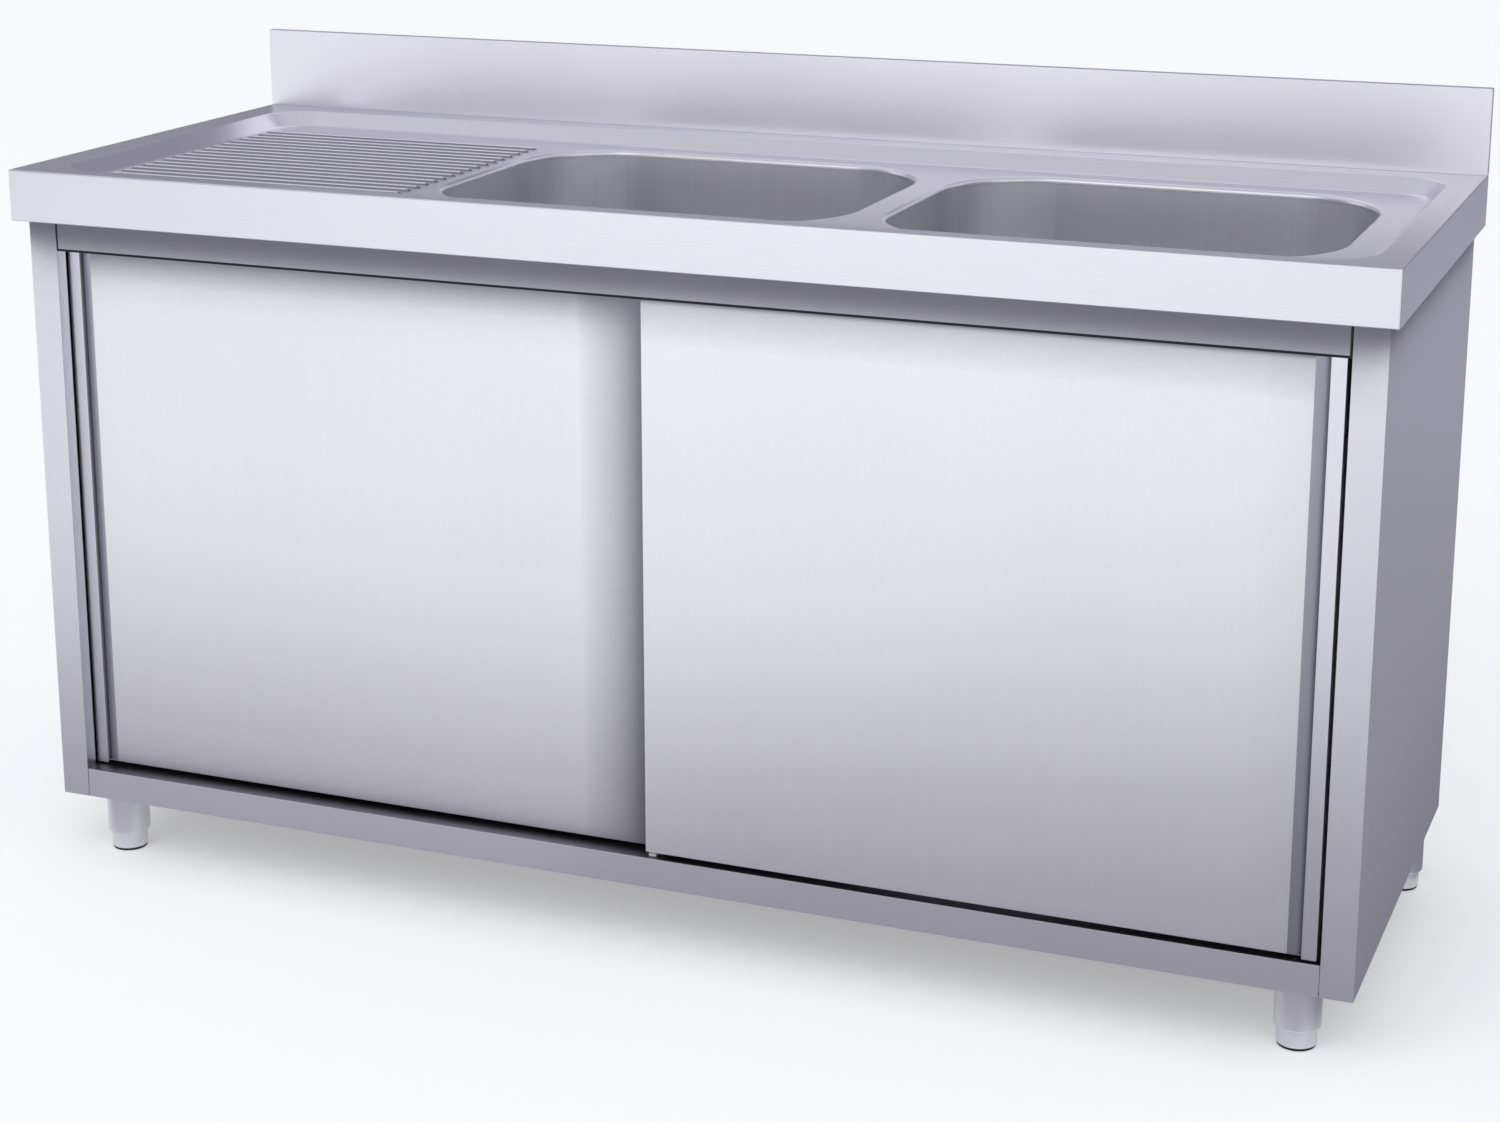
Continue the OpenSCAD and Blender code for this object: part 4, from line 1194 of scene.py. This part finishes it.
@dataclass(frozen=True)
class Card:
    """A grey card that only reflections see, flat between two opposite corners in metres."""

    name: str
    tone: str
    low: Point
    high: Point
    # How much further to the front the right end of a level card reaches
    slant: float = 0.0

    def corners(self) -> tuple[Point, ...]:
        """Returns the four corners in order round the card."""
        (x, y, z), (right, rear, top) = self.low, self.high
        if x == right:
            return ((x, y, z), (x, rear, z), (x, rear, top), (x, y, top))
        if y == rear:
            return ((x, y, z), (right, y, z), (right, y, top), (x, y, top))
        return ((x, y, z), (right, y - self.slant, z), (right, rear, z), (x, rear, z))


@dataclass(frozen=True)
class Lamp:
    """A large soft lamp: its place and aim in metres, width and height in metres, and watts."""

    name: str
    place: Point
    aim: Point
    size: Span
    power: float


@dataclass
class Studio:
    """Plain pale floor, soft light and the camera at the photograph's viewing angle."""

    camera_place: Point = (1.2087, -3.0121, 1.3811)
    camera_pitch: float = 75.9
    camera_turn: float = 21.75
    lens: float = 68.2
    sensor: float = 36.0
    shift_y: float = -0.1
    # Tones and strengths of the light from all round, of the ground that the camera and the
    # mirror images see, of the floor's paper and of its glow
    sky: tuple[str, float] = ("f4f6fa", 0.75)
    backdrop: tuple[str, float] = ("ffffff", 1.0)
    floor_tone: str = "f7f7f8"
    floor_glow: tuple[str, float] = ("ffffff", 0.3)
    floor_half: float = 30.0
    # Just under the pads, so that the two never share a plane
    floor_z: float = -0.0005
    lamps: tuple[Lamp, ...] = (
        Lamp("studio_lamp_top", (-0.8, -3.0, 3.4), (0, 0, 0.4), (2.2, 2.2), 12),
        Lamp("studio_lamp_front", (-2.6, -8.5, 1.0), (0, -0.3, 0.6), (5.0, 1.8), 24),
    )
    # In the steel, the front floor's cards darken the foot of the doors, those on the right the
    # side panel, the rear ones the level steel, and the front and left ones the splashback. The
    # ceiling keeps the recess walls from mirroring the white ground.
    cards: tuple[Card, ...] = (
        Card("front_floor_left", "9d9ca6", (-3, -0.85, 0.002), (-0.15, -0.3, 0.002), 0.1),
        Card("front_floor_right", "8b8a94", (-0.15, -1, 0.002), (0.85, -0.3, 0.002), 0.4),
        Card("right_floor", "9d9ca6", (0.85, -1.15, 0.002), (6, 2.2, 0.002)),
        Card("right_floor_far", "abaab6", (0.85, 2.2, 0.002), (6, 6, 0.002)),
        Card("right_floor_near", "7f7e88", (0.8, -0.35, 0.003), (1, 1.4, 0.003)),
        Card("right", "9d9ca6", (6, -2, 0), (6, 6, 4)),
        Card("rear", "9593a0", (-2.2, 6, 0), (6, 6, 13)),
        Card("rear_left", "8b8a95", (-9, 6, 0), (-2.2, 6, 5)),
        Card("ceiling", "d4d3db", (-2.2, -7, 5), (7, 2.5, 5)),
        Card("ceiling_left", "dcdbe3", (-8, -7, 5), (-2.2, 6, 5)),
        Card("front_high", "bab9c2", (-9, -9, 3.4), (-1, -9, 6)),
        Card("front_band", "a5a4ae", (-6, -9, 2.1), (4, -9, 3.4)),
        Card("left", "9593a0", (-5, -9, 0.6), (-5, -1, 5)),
    )

    def world(self) -> None:
        """Lights the object evenly and shows a white background."""
        world = bpy.data.worlds.new("studio")
        bpy.context.scene.world = world
        tree = empty_tree(world)
        # The steel sees the sky only by its own reflections, so the grey cards hide it there
        world.cycles.sampling_method = "NONE"
        path = add_node(tree, "ShaderNodeLightPath").outputs
        seen = calculate(tree, "MAXIMUM", path["Is Camera Ray"], path["Is Glossy Ray"])
        seen = calculate(tree, "MAXIMUM", seen, path["Is Transmission Ray"])
        links = {0: seen}
        for key, (tone, power) in enumerate((self.sky, self.backdrop), start=1):
            inputs = {"Color": linear(tone), "Strength": power}
            links[key] = add_node(tree, "ShaderNodeBackground", inputs=inputs).outputs[0]
        mixed = add_node(tree, "ShaderNodeMixShader", links=links)
        add_node(tree, "ShaderNodeOutputWorld", links={"Surface": mixed.outputs[0]})

    def floor(self) -> None:
        """Lays a wide pale floor that keeps the object's shadow."""
        mesh = bmesh.new()
        size = self.floor_half
        corners = [(-size, -size), (size, -size), (size, size), (-size, size)]
        mesh.faces.new([mesh.verts.new((x, y, self.floor_z)) for x, y in corners])
        material = bpy.data.materials.new("studio_floor_paper")
        tree = empty_tree(material)
        inputs = {"Color": linear(self.floor_tone), "Roughness": 0.5}
        paper = add_node(tree, "ShaderNodeBsdfDiffuse", inputs=inputs).outputs[0]
        glow = add_glow(tree, *self.floor_glow)
        both = add_node(tree, "ShaderNodeAddShader", links={0: paper, 1: glow})
        add_node(tree, "ShaderNodeOutputMaterial", links={"Surface": both.outputs[0]})
        made = finish_object("studio_floor", mesh, material, recalculate=False)

    def hang(self, card: Card) -> None:
        """Hangs a card that only reflections see."""
        mesh = bmesh.new()
        mesh.faces.new([mesh.verts.new(corner) for corner in card.corners()])
        name = "studio_card_" + card.name
        material = bpy.data.materials.new(name)
        tree = empty_tree(material)
        glow = add_glow(tree, card.tone, 1.0)
        add_node(tree, "ShaderNodeOutputMaterial", links={"Surface": glow})
        made = finish_object(name, mesh, material, recalculate=False)
        made.visible_camera = False
        made.visible_diffuse = False
        made.visible_shadow = False

    def light(self, lamp: Lamp) -> None:
        """Adds a lamp that the camera doesn't see."""
        data = bpy.data.lights.new(lamp.name, "AREA")
        data.shape = "RECTANGLE"
        data.size, data.size_y = lamp.size
        data.energy = lamp.power
        made = bpy.data.objects.new(lamp.name, data)
        made.location = lamp.place
        beam = Vector(lamp.aim) - Vector(lamp.place)
        made.rotation_euler = beam.to_track_quat("-Z", "Y").to_euler()
        made.visible_camera = False
        bpy.context.scene.collection.objects.link(made)

    def camera(self) -> None:
        """Places the camera at the photograph's viewing angle."""
        data = bpy.data.cameras.new("photograph")
        data.lens = self.lens
        data.sensor_width = self.sensor
        data.shift_y = self.shift_y
        made = bpy.data.objects.new("photograph", data)
        made.location = self.camera_place
        made.rotation_euler = (math.radians(self.camera_pitch), 0.0, math.radians(self.camera_turn))
        bpy.context.scene.collection.objects.link(made)
        bpy.context.scene.camera = made

    def build(self) -> None:
        """Builds the whole studio."""
        self.world()
        self.floor()
        for card in self.cards:
            self.hang(card)
        for lamp in self.lamps:
            self.light(lamp)
        self.camera()
        bpy.context.scene.view_settings.view_transform = "Standard"


def main() -> None:
    """Builds the cabinet's sub-assemblies in order, then the studio."""
    logging.basicConfig(level=logging.INFO, format="%(name)s: %(message)s")
    finishes = Finishes()
    rows = RowTree()
    bowls = [Bowl("left_bowl", -79.0), Bowl("right_bowl", 461.0)]
    for bowl in bowls:
        bowl.build(finishes)
    Worktop(bowls).build(finishes)
    Drainer().build(finishes, rows)
    Cabinet().build(finishes)
    Fasteners().build(finishes, rows)
    for side in ("left", "right"):
        Door(side).build(finishes)
    for corner, x, y in (
        ("front_left", -725.0, -240.0),
        ("front_right", 725.0, -240.0),
        ("rear_left", -758.5, 219.0),
        ("rear_right", 758.5, 219.0),
    ):
        Leg(corner, x, y).build(finishes)
    Studio().build()


if __name__ == "__main__":
    main()
